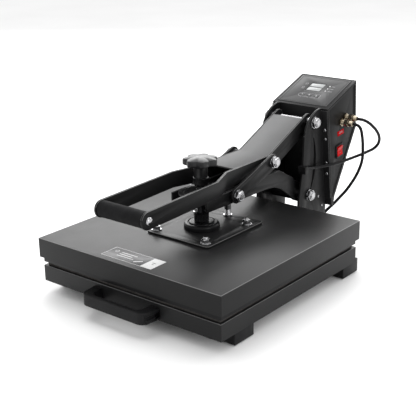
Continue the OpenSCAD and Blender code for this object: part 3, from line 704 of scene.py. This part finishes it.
def make_sheet_metal():
    formed("platen_cover", COVER, 1.3, 3, COVER_PAINTED_HIGHLIGHT, thin=True)
    formed("tray_shell", COVER, 1.0, 3, COVER_PAINTED_HIGHLIGHT, thin=True)
    formed("mount_plate", COVER, 0.5, 2, COVER_PAINTED_HIGHLIGHT)
    formed("heating_plate", HEATER, 0.8)
    for node in ("arm_top", "arm_sides", "arm_pivot_tube", "screw_nut"):
        formed(node, COATED_DARK, 0.45, 2, COATED_PAINTED_HIGHLIGHT)
    for node in ("lever_bar_left", "lever_bar_right"):
        formed(node, COATED, 0.6, 2, COVER_PAINTED_HIGHLIGHT)
    formed("lever_top", LEVER_TOP_PAINTED_LIT, 0.35, 2, COVER_PAINTED_HIGHLIGHT)
    for node in ("link_left", "link_right", "upright_left", "upright_right"):
        formed(node, COATED, 0.5, 2, COATED_PAINTED_HIGHLIGHT)
    formed("upright_web", COATED, 0.3)
    formed("cross_tubes", COATED, 1.0, 3, thin=True)
    formed("long_tubes", COATED, 1.0, 3, thin=True)
    formed("tube_end_caps", PLASTIC, 0.4)
    formed("box_case", BOX_COAT, 0.5, 2, COATED_PAINTED_HIGHLIGHT)
    formed("box_sides", BOX_COAT, 0.3, 2, COATED_PAINTED_HIGHLIGHT)
    formed("pull_handle", PLASTIC, 1.2, 3)
    formed("lead_clip", PLASTIC, 0.6)
    formed("switch_bezel", PLASTIC, 0.4)
    formed("power_inlet", PLASTIC, 0.5)
    formed("drawer_rails", STEEL, 0.5)
    formed("drawer_runners", STEEL, 0.5)


make_sheet_metal()


# ---- control box

PANEL_SLOPE = math.atan2(38, 104)
PANEL_EDGE = Vector((0, (302.5 - PLATEN_Y) * MM, 265.5 * MM))
PANEL_TOP = 0.8
PANEL_PLACE = Matrix.Translation(PANEL_EDGE) @ Matrix.Rotation(PANEL_SLOPE, 4, "X")
INK = 0.12
PRINTED = PANEL_TOP + INK / 2
LAMPS_ALONG = (57, 66, 75)
KEYS_ALONG = 36
KEY_STEP = 16
DISPLAY_AT = (-3.5, 67)


def oval_line(bm, place, at, size, width, height, arcs=10):
    """A flat ring in the shape of a slot with round ends, in millimetres."""
    w, h = size
    outline = []
    for side, turn in ((1, -math.pi / 2), (-1, math.pi / 2)):
        for k in range(arcs + 1):
            a = turn + math.pi * k / arcs
            outline.append((side * (w - h) / 2, math.cos(a), math.sin(a)))
    rows = []
    for r, z in ((h / 2, 0), (h / 2, height), (h / 2 - width, height), (h / 2 - width, 0)):
        rows.append([bm.verts.new(place @ (Vector((at[0] + o + x * r, at[1] + y * r, at[2] + z)) * MM))
                     for o, x, y in outline])
    for a, b in zip(rows, rows[1:] + rows[:1]):
        band(bm, a, b)


def make_display():
    """The display's two lit rows, its frame and the bar between them."""
    x, y = DISPLAY_AT
    screen, bezel = bmesh.new(), bmesh.new()
    for side in (1, -1):
        cuboid(screen, PANEL_PLACE, (31.4, 12.6, 2.4), (x, y + side * 7, -0.85), 0.25)
    remade("display_window", "rows", screen, SCREEN)
    frame_line(bezel, PANEL_PLACE, (x, y, 0.1), (33, 29), 0.8, 1.8)
    cuboid(bezel, PANEL_PLACE, (31.4, 1, 1.6), (x, y, 0), 0.1)
    piece("display_window.bezel", bezel, PLASTIC, "root")


def make_print():
    """Printed marks: lines beside the lamps, plain marks by the display, an oval round the keys."""
    ink, seam = bmesh.new(), bmesh.new()
    for k, along in enumerate(LAMPS_ALONG):
        cuboid(ink, PANEL_PLACE, (9 - 1.5 * k, 1.1, INK), (34 - 0.75 * k, along, PRINTED))
    for along in (60, 75):
        frame_line(ink, PANEL_PLACE, (-29, along, PRINTED), (5, 6.4), 0.6, INK)
        cuboid(ink, PANEL_PLACE, (2.4, 0.7, INK), (-29, along, PRINTED))
    for x in (-KEY_STEP, 0, KEY_STEP):
        cuboid(ink, PANEL_PLACE, (3, 0.6, INK), (x, 28.5, PRINTED))
    oval_line(ink, PANEL_PLACE, (0, KEYS_ALONG, PANEL_TOP), (50, 12.6), 0.7, INK)
    piece("panel_print", ink, GREY_INK, "root", slot=SLOT["control_panel"])
    frame_line(seam, PANEL_PLACE, (0, 55.4, PANEL_TOP + 0.03), (105, 92), 1.2, 0.06)
    piece("panel_border", seam, DARK_INK, "root", slot=SLOT["control_panel"])


def make_lamps():
    bm = bmesh.new()
    dome = fillet(mm((0, 1.5), (1, 1.4), (1.18, 0.6), (1.18, -2.8)), 0.5 * MM) + mm((0, -2.8))
    for along in LAMPS_ALONG:
        turned(moved(PANEL_PLACE, 24, along, 0), dome, 24, bm)
    remade("indicator_lights", "domes", bm, LAMP)


def make_keys():
    """Three film keys: one with a ring on it, one with an arrow down, one with an arrow up."""
    keys = (("key_mode", 0), ("key_down", -1), ("key_up", 1))
    for node, way in keys:
        formed(node, KEY, 0.5, 3)
    for index, (node, way) in enumerate(keys):
        bm = bmesh.new()
        place = moved(PANEL_PLACE, KEY_STEP * (index - 1), KEYS_ALONG, 1.4)
        low, high = -0.02, 0.07
        if way:
            tip = [(0, way * 1.5), (-1.6, -way * 1.1), (1.6, -way * 1.1)]
            lower, upper = [[bm.verts.new(place @ (Vector((x, y, z)) * MM)) for x, y in tip]
                            for z in (low, high)]
            bm.faces.new(lower)
            bm.faces.new(upper)
            band(bm, lower, upper)
        else:
            turned(place, mm((1.1, low), (1.5, low), (1.5, high), (1.1, high)), 24, bm, closed=True)
        piece(node + ".mark", bm, WHITE_INK, BODY[node])


SIDE_TILT = math.radians(7)
SWITCH_PIN = Vector((62, 351 - PLATEN_Y, 173.5)) * MM
ROCKER_W = 17.2
ROCKER_H = 18.8


def make_rocker():
    """The lit rocker, dished below its pin and raised above it, with two generic marks."""
    place = Matrix.Translation(SWITCH_PIN) @ Matrix.Rotation(SIDE_TILT, 4, "X")
    top = ROCKER_H / 2
    dished = []
    for k in range(13):
        s = k / 12
        depth = 2.4 - 0.8 * math.sin(math.pi * s) if s < 0.5 else 1.6 + 2.8 * (2 * s - 1) ** 1.4
        dished.append((depth, -top + s * (2 * top - 0.5)))
    outline = [(-6, -top + 1.2), (-1, -top)] + dished + [(-1, top), (-6, top - 1.2)]
    bm = bmesh.new()
    sides = [[bm.verts.new(place @ (Vector((x, y, z)) * MM)) for x, z in outline]
             for y in (-ROCKER_W / 2, ROCKER_W / 2)]
    bm.faces.new(sides[0])
    bm.faces.new(sides[1])
    band(bm, *sides)
    edges = [e for e in bm.edges if e.calc_face_angle(0) > math.radians(40)]
    bmesh.ops.bevel(bm, geom=edges, offset=0.5 * MM, segments=3, profile=0.5, affect="EDGES")
    remade("switch_rocker", "lens", bm, RED)
    marks = bmesh.new()
    lean = math.atan2(2.8, 8.9)
    upper = moved(place, 2.75, 0, 4.9) @ Matrix.Rotation(math.pi / 2 - lean, 4, "Y")
    cuboid(marks, upper, (3.4, 0.7, 0.1), (0, 0, 0.12))
    lower = moved(place, 1.78, 0, -4.9) @ Matrix.Rotation(math.pi / 2 + 0.06, 4, "Y")
    turned(lower, mm((1.2, 0), (1.7, 0), (1.7, 0.15), (1.2, 0.15)), 28, marks, closed=True)
    piece("switch_rocker.marks", marks, GREY_INK, BODY["switch_rocker"])


def make_switch_plate():
    """The plate above the switch: red film with two plain bars."""
    side = Vector((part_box("box_sides")[1].x, (355 - PLATEN_Y) * MM, 209 * MM))
    tilted = Matrix.Translation(side) @ Matrix.Rotation(SIDE_TILT, 4, "X")
    place = tilted @ Matrix.Rotation(math.pi / 2, 4, "Y")
    film, bars = bmesh.new(), bmesh.new()
    cuboid(film, place, (9.6, 23, 0.3), (0, 0, 0.15), 0.1)
    piece("switch_plate", film, RED_LABEL, "root", slot=SLOT["switch_rocker"])
    for x, length in ((-2.0, 11), (0.4, 14)):
        cuboid(bars, place, (0.7, length, 0.08), (x, 0, 0.34))
    piece("switch_plate.bars", bars, GREY_INK, "root", slot=SLOT["switch_rocker"])


def make_glands():
    """Two cable glands: locknut, threaded neck, body hexagon and domed compression cap."""
    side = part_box("box_sides")[1].x
    metal, seals = bmesh.new(), bmesh.new()
    bore = 3.2

    def knurled(row):
        radius, height = row
        if radius < 4.4 * MM or height > 24 * MM:
            return row
        return lambda angle: (radius - 0.16 * MM * (0.5 + 0.5 * math.cos(24 * angle)), height)
    for low, high in loose_parts("cable_glands"):
        mid = (low + high) / 2
        place = facing(Vector((side, mid.y, mid.z)), (1, 0, 0))
        end = (high.x - side) / MM
        for flat, start, tall, turn in ((14, 0, 5, 0.1), (12.5, 11, 8, 0.3)):
            rows = nut_rows(flat * MM, tall * MM, 5.2 * MM, turn)
            turned(moved(place, 0, 0, start), rows, 72, metal, closed=True)
        thread = mm((bore, -4.8), (5.5, -4.8))
        thread += thread_rows(5.55 * MM, -4.8 * MM, 12 * MM, 1.5 * MM, 0.45 * MM)
        turned(place, thread + mm((bore, 12)), 48, metal, closed=True)
        cap = fillet(mm((bore, 18.6), (5.9, 18.6), (5.9, 22), (5, end - 1.2), (4.2, end), (bore + 0.5, end)),
                     1.4 * MM)
        turned(place, [knurled(r) for r in cap] + mm((bore, end - 1)), 96, metal, closed=True)
        inner, outer = bore - 0.15, bore + 0.4
        seal = mm((inner, end - 6), (outer, end - 6), (outer, end - 0.2), (inner, end - 0.2))
        turned(place, seal, 48, seals, closed=True)
    remade("cable_glands", "turned", metal, NICKEL)
    piece("cable_glands.seals", seals, RUBBER, "root", slot=SLOT["web_grommet"])


def make_inlet_pins():
    """Three flat pins in the mains inlet."""
    mid = centre("power_inlet")
    mid.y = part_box("power_inlet")[1].y - 1.6 * MM
    lean = math.atan2(5, 93.5)
    place = Matrix.Translation(mid) @ Matrix.Rotation(-math.pi / 2 + lean, 4, "X")
    bm = bmesh.new()
    for x, y in ((-7, -2), (0, 2), (7, -2)):
        cuboid(bm, place, (2, 4, 10), (x, y, -7.6), 0.3)
    piece("power_inlet.pins", bm, PIN_BRASS, "root")


formed("control_panel", PANEL, 0.25)
make_display()
make_print()
make_lamps()
make_keys()
make_rocker()
make_switch_plate()
make_glands()
make_inlet_pins()


# ---- pressure screw, knob and foot

SCREW_AXIS = Matrix.Translation((*centre("pressure_screw").xy, 0))
SCREW_R = 8 * MM


def make_screw():
    low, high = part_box("pressure_screw")
    c = 1 * MM
    rows = [(0, low.z), (SCREW_R - c, low.z), (SCREW_R, low.z + c)]
    rows += thread_rows(SCREW_R, low.z + c, high.z - c, 2 * MM, 0.9 * MM)
    rows += [(SCREW_R - c, high.z), (0, high.z)]
    remade("pressure_screw", "threaded", turned(SCREW_AXIS, rows, 40), BLACK_OXIDE, sharp=50)


def make_collar():
    """A ribbed collar on the screw."""
    low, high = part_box("thrust_collar")
    outer = (high.x - low.x) / 2

    def rib(share, height):
        def row(angle):
            groove = max(0.0, math.cos(12 * angle)) ** 1.5
            return outer * share - 1.5 * MM * groove, height
        return row
    tall = high.z - low.z
    bore = SCREW_R + 0.05 * MM
    rows = [(bore, low.z), (outer - 0.8 * MM, low.z), (outer, low.z + 0.8 * MM), (outer, low.z + 2.4 * MM)]
    rows += [rib(1 - 0.001 * k, low.z + 3 * MM + (tall - 4.4 * MM) * k / 4) for k in range(5)]
    rows += [rib(0.9, high.z - 0.3 * MM), (outer * 0.78, high.z), (bore, high.z)]
    remade("thrust_collar", "ribbed", turned(SCREW_AXIS, rows, 144, closed=True), CAST_BLACK)


def make_foot():
    """A round foot with a lip round its rim and a raised hub."""
    low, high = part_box("pressure_foot")
    rim = (high.x - low.x) / 2 / MM
    bore = 8.1
    profile = mm((0, 0), (rim - 0.6, 0), (rim, 0.8), (rim, 7.6), (rim - 2.2, 10.4), (rim - 6.5, 10.8),
                 (rim - 8, 9), (22.6, 9), (22, 11.4), (20, 12), (bore + 0.6, 12), (bore, 11.4), (bore, 2.2),
                 (0, 2.2))
    rows = [(radius, low.z + height) for radius, height in fillet(profile, 1.5 * MM, 5)]
    remade("pressure_foot", "turned", turned(SCREW_AXIS, rows, 96), CAST_BLACK)


def make_knob():
    """Lobed hand knob: domed top, fluted hub and a knurled locking ring."""
    low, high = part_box("knob")
    base, ring_top, ring_low = high.z - 14.4 * MM, low.z + 12.7 * MM, low.z

    def lobe(angle):
        wave = 0.5 + 0.5 * math.cos(7 * (angle - math.radians(12)))
        return 25.2 * MM + 5.7 * MM * wave ** 0.7

    def skirt(inset, height, follow=1.0):
        def row(angle):
            full = lobe(angle)
            return full * follow + 20 * MM * (1 - follow) - inset, height
        return row

    def crown(share):
        def row(angle):
            drop = 3.6 * MM * share ** 2.4
            return (lobe(angle) - 1.6 * MM) * share, high.z - 0.1 * MM - drop
        return row
    rows = [(12.2 * MM, ring_top + 1 * MM), (12.2 * MM, base - 6 * MM), (13.2 * MM, base - 2.5 * MM),
            (16 * MM, base), skirt(3 * MM, base, 0.35)]
    rows += [skirt(inset * MM, base + up * MM)
             for inset, up in ((1.2, 0.1), (0.3, 0.9), (0, 2), (0, 6), (0.15, 8.4), (0.7, 9.8))]
    rows += [crown(s) for s in (1, 0.93, 0.84, 0.72, 0.58, 0.42, 0.25, 0.12)]
    rows += [(0, high.z - 0.1 * MM)]
    remade("knob", "head", turned(SCREW_AXIS, rows, 168), KNOB, sharp=40)

    def flute(height, radius, deep):
        def row(angle):
            return radius - deep * max(0.0, math.cos(8 * angle)) ** 2, height
        return row
    hub = [(8.1 * MM, ring_top), (12.3 * MM, ring_top), (12.5 * MM, ring_top + 0.4 * MM),
           flute(ring_top + 1.4 * MM, 12.5 * MM, 0.9 * MM), flute(base - 5 * MM, 12.5 * MM, 0.9 * MM),
           (12.5 * MM, base - 3 * MM), (8.1 * MM, base - 3 * MM)]
    piece("knob.hub", turned(SCREW_AXIS, hub, 128, closed=True), KNOB, BODY["knob"], sharp=40)

    def knurl(height, radius):
        def row(angle):
            a = math.cos(30 * angle + height / MM * 1.6)
            b = math.cos(30 * angle - height / MM * 1.6)
            return radius - 0.35 * MM * (0.5 + 0.25 * (a + b)), height
        return row
    rim = 13.9 * MM
    bore, c = 8.1 * MM, 1 * MM
    ring = [(bore, ring_low), (rim - c, ring_low), (rim, ring_low + c), (rim, ring_low + 1.8 * MM)]
    steps = 12
    tall = ring_top - ring_low
    ring += [knurl(ring_low + 2 * MM + (tall - 4 * MM) * k / steps, rim) for k in range(steps + 1)]
    ring += [(rim, ring_top - 1.8 * MM), (rim, ring_top - c), (rim - c, ring_top), (bore, ring_top)]
    piece("knob.lock_ring", turned(SCREW_AXIS, ring, 240, closed=True), CAST_BLACK, BODY["knob"], sharp=50)


make_screw()
make_collar()
make_foot()
make_knob()


# ---- mounting bolts and guide post

def make_mount_bolts():
    """The platen's four bolts, each with a washer and a flanged nut."""
    bm = bmesh.new()
    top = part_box("mount_plate")[1].z
    bore = 4.02 * MM
    flange = mm((4.02, 0), (7.6, 0), (7.8, 0.5), (6.2, 1.2), (4.02, 1.2))
    for index, (low, high) in enumerate(sorted(loose_parts("mount_bolts"), key=lambda b: (b[0].x, b[0].y))):
        if high.x - low.x < 10 * MM:
            continue
        mid = (low + high) / 2
        base = Matrix.Translation((mid.x, mid.y, top))
        turned(base, washer_rows(9 * MM, bore, WASHER), 64, bm, closed=True)
        seat = base @ Matrix.Translation((0, 0, WASHER))
        turned(seat, flange, 64, bm, closed=True)
        turned(seat, nut_rows(13 * MM, 6.4 * MM, bore, 0.3 + 0.7 * index), 72, bm, closed=True)
        bottom = low.z - top
        rows = [(0, bottom), (4 * MM, bottom), (4 * MM, -1 * MM)]
        rows += thread_rows(4 * MM, -1 * MM, high.z - top - 0.6 * MM, 1.25 * MM, 0.4 * MM)
        turned(base, rows + [(3.4 * MM, high.z - top), (0, high.z - top)], 40, bm)
    remade("mount_bolts", "turned", bm, CHROME)


def make_guide_post():
    """The post that stops the platen turning: a plain rod, threaded at its foot, with a flange."""
    low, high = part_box("guide_post")
    mid = (low + high) / 2
    base = Matrix.Translation((mid.x, mid.y, low.z))
    bm = turned(base, washer_rows(8 * MM, 6.02 * MM, 2.5 * MM), 64, closed=True)
    tall, r = high.z - low.z, 6 * MM
    rows = [(0, 0), (r, 0)] + thread_rows(r, 2.6 * MM, 13 * MM, 1.75 * MM, 0.4 * MM)
    rows += [(r, 13.4 * MM), (r, tall - 1 * MM), (r - 1 * MM, tall), (0, tall)]
    turned(base, rows, 56, bm)
    remade("guide_post", "turned", bm, CHROME)


make_mount_bolts()
make_guide_post()


# ---- lever handle

def make_handle():
    """The foam grip, on a rod that goes through both lever bars and ends in domed heads."""
    mid, radius, half = barrel(*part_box("handle_grip"))
    place = facing(mid, (1, 0, 0))
    bore = 6.02 * MM
    rows = [(bore, -half)]
    c = 1.2 * MM
    rows += fillet([(radius - c, -half), (radius, -half + 1.6 * MM), (radius, -half + 5 * MM)], c)
    count = 24
    for k in range(count + 1):
        s = k / count
        x = (-half + 6 * MM) * (1 - s) + (half - 6 * MM) * s
        squeeze = 0.12 * MM * math.sin(9 * s) * math.sin(23 * s)
        rows.append((radius - 0.12 * MM - abs(squeeze), x))
    rows += fillet([(radius, half - 5 * MM), (radius, half - 1.6 * MM), (radius - c, half)], c)
    bm = turned(place, rows + [(bore, half)], 72, closed=True)
    grip = remade("handle_grip", "foam", bm, GRIP)
    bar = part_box("lever_bar_right")[1].x
    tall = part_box("handle_rod")[1].x - bar
    bm = bmesh.new()
    turned(place, [(0, -bar), (6 * MM, -bar), (6 * MM, bar), (0, bar)], 48, bm)
    head, rim = 6.9 * MM, 0.9 * MM
    dome = [(0, 0), (head, 0), (head, rim)]
    dome += [(head * math.cos(a), rim + (tall - rim) * math.sin(a))
             for a in (math.pi / 2 * k / 12 for k in range(1, 12))]
    for sign in (-1, 1):
        turned(facing(Vector((sign * bar, mid.y, mid.z)), (sign, 0, 0)), dome + [(0, tall)], 56, bm)
    remade("handle_rod", "turned", bm, CHROME)


make_handle()


# ---- the small turned and moulded pieces

def ring_rows(bore, outer, half, e):
    """A turned ring or shaft with its outer edges rounded."""
    return [(bore, -half), (outer - e, -half), (outer, -half + e), (outer, half - e), (outer - e, half),
            (bore, half)]


def make_spacers():
    """Turned rings on the pivots: chrome between the frame and the moving parts, black on the links."""
    for node, material in (("pivot_spacers", CHROME), ("link_spacers", BLACK_OXIDE)):
        bm = bmesh.new()
        for low, high in loose_parts(node):
            mid, outer, half = barrel(low, high)
            turned(facing(mid, (1, 0, 0)), ring_rows(6.02 * MM, outer, half, 0.4 * MM), 56, bm, closed=True)
        remade(node, "turned", bm, material)
    mid, radius, half = barrel(*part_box("arm_link_shaft"))
    bm = turned(facing(mid, (1, 0, 0)), ring_rows(0, radius, half, 0.5 * MM), 56)
    remade("arm_link_shaft", "turned", bm, CHROME)


def make_feet():
    bm = bmesh.new()
    for low, high in loose_parts("rubber_feet"):
        mid, outer, tall = column(low, high)
        base = Matrix.Translation((mid.x, mid.y, low.z))
        profile = [(0, 0.3 * MM), (outer * 0.5, 0.3 * MM), (outer * 0.56, 0), (outer - 1.2 * MM, 0),
                   (outer - 0.2 * MM, 0.7 * MM), (outer, tall), (0, tall)]
        turned(base, fillet(profile, 0.4 * MM, 3), 56, bm)
    remade("rubber_feet", "moulded", bm, RUBBER)


def make_grommet():
    """The grommet that the sensor lead goes through at the foot of the uprights."""
    mid = centre("web_grommet")
    place = facing(Vector((mid.x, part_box("web_grommet")[0].y, mid.z)), (0, 1, 0))
    bore = 3.15
    rows = mm((bore + 0.6, 0), (5.6, 0), (6, 0.6), (6, 3), (7.2, 3), (8, 3.8), (7.2, 5), (bore + 0.6, 5),
              (bore, 4), (bore, 1))
    remade("web_grommet", "moulded", turned(place, rows, 48, closed=True), RUBBER)


def make_pad():
    """The silicone sheet on the lower platen: softly rounded edges and a faintly uneven top."""
    low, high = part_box("silicone_pad")
    bm = bmesh.new()
    count = 40
    e = 1.2 * MM
    xs, ys = [[start + e + (end - start - 2 * e) * k / count for k in range(count + 1)]
              for start, end in ((low.x, high.x), (low.y, high.y))]

    def top(x, y):
        return high.z - 0.06 * MM * (1 + math.sin(37 * x) * math.sin(29 * y + 1))
    grid = [[bm.verts.new((x, y, top(x, y))) for x in xs] for y in ys]
    for front, back in zip(grid, grid[1:]):
        for i in range(count):
            bm.faces.new((front[i], front[i + 1], back[i + 1], back[i]))
    rim = grid[0][:-1] + [r[-1] for r in grid[:-1]] + grid[-1][:0:-1] + [r[0] for r in grid[:0:-1]]
    loops = [rim]
    for grow, z in ((e * 0.7, high.z - e * 0.3), (e, high.z - e), (e, low.z + e * 0.4), (e * 0.8, low.z)):
        loop = []
        for v in rim:
            side_x = (v.co.x > high.x - e * 1.01) - (v.co.x < low.x + e * 1.01)
            side_y = (v.co.y > high.y - e * 1.01) - (v.co.y < low.y + e * 1.01)
            loop.append(bm.verts.new((v.co.x + side_x * grow, v.co.y + side_y * grow, z)))
        loops.append(loop)
    for a, b in zip(loops, loops[1:]):
        band(bm, a, b)
    bm.faces.new(loops[-1])
    pad = remade("silicone_pad", "sheet", bm, SILICONE)


make_spacers()
make_feet()
make_grommet()
make_pad()
dressed("insulation_board", FIBRE)
dressed("control_board", BOARD)


# ---- labels

def make_cover_label():
    """A blank film label near the cover's front edge: an outlined grey field and a white field."""
    low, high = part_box("platen_cover")
    place = moved(Matrix.Translation((0, low.y, high.z)), -5, 31, 0)
    film, white, ink, dark = (bmesh.new() for _ in range(4))
    thick = 0.15
    z = thick + 0.05
    cuboid(film, place, (110, 38, thick), (0, 0, thick / 2), 0.06)
    cuboid(white, place, (22, 36.6, 0.1), (43.2, 0, z))
    frame_line(ink, place, (0, 0, z), (110, 38), 0.9, 0.1)
    cuboid(ink, place, (0.9, 36, 0.1), (31.6, 0, z))
    for row, (x, w) in enumerate(((-14, 34), (-17, 28), (-13, 36))):
        cuboid(ink, place, (w, 1.6, 0.1), (x, 7 - 6.5 * row, z))
    ring = mm((2.6, 0), (3.6, 0), (3.6, 0.1), (2.6, 0.1))
    turned(moved(place, -42, 7, thick), ring, 32, ink, closed=True)
    cuboid(ink, moved(place, 17, -7, 0) @ Matrix.Rotation(0.7, 4, "Z"), (15, 2.6, 0.1), (0, 0, z))
    for w, x, y in ((7, 43, 3), (4, 44, -2)):
        cuboid(dark, place, (w, 1.6, 0.06), (x, y, thick + 0.12))
    for name, bm, material in (("film", film, LABEL_GREY), ("field", white, LABEL_WHITE),
                               ("lines", ink, WHITE_INK), ("ticks", dark, DARK_INK)):
        piece("cover_label." + name, bm, material, "platen", slot=SLOT["control_panel"])


make_cover_label()


# ---- studio

def make_studio():
    bm = bmesh.new()
    bmesh.ops.create_grid(bm, x_segments=2, y_segments=2, size=12)
    mesh = bpy.data.meshes.new("floor")
    bm.to_mesh(mesh)
    bm.free()
    n = Nodes("studio_floor")
    n.finish(n.ramp(n.noise(0.4, 2), (0.87, 0.87, 0.87), (0.9, 0.9, 0.9)), None, None, Roughness=0.9)
    mesh.materials.append(n.material)
    floor = bpy.data.objects.new("floor", mesh)
    bpy.context.scene.collection.objects.link(floor)

    world = bpy.data.worlds.new("studio")
    bpy.context.scene.world = world
    world.use_nodes = True
    world.node_tree.nodes["Background"].inputs["Color"].default_value = (1, 1, 1, 1)
    world.node_tree.nodes["Background"].inputs["Strength"].default_value = 1.0

    target = Vector((0, 0, 0.12))
    for name, at, size, power in (("top", (-0.4, 0.2, 2.4), (1.8, 1.8), 24),
                                  ("back_left", (-1.35, 1.85, 1.35), (3.0, 1.2), 56),
                                  ("right", (2.6, -0.4, 1.0), (1.0, 1.4), 14),
                                  ("back", (0.9, 2.6, 1.4), (1.4, 0.9), 10)):
        data = bpy.data.lights.new(name, "AREA")
        data.shape = "RECTANGLE"
        data.size, data.size_y = size
        data.energy = power
        light = bpy.data.objects.new(name, data)
        light.location = at
        light.rotation_euler = (target - Vector(at)).to_track_quat("-Z", "Y").to_euler()
        bpy.context.scene.collection.objects.link(light)
    bpy.context.scene.view_settings.view_transform = "Standard"


make_studio()
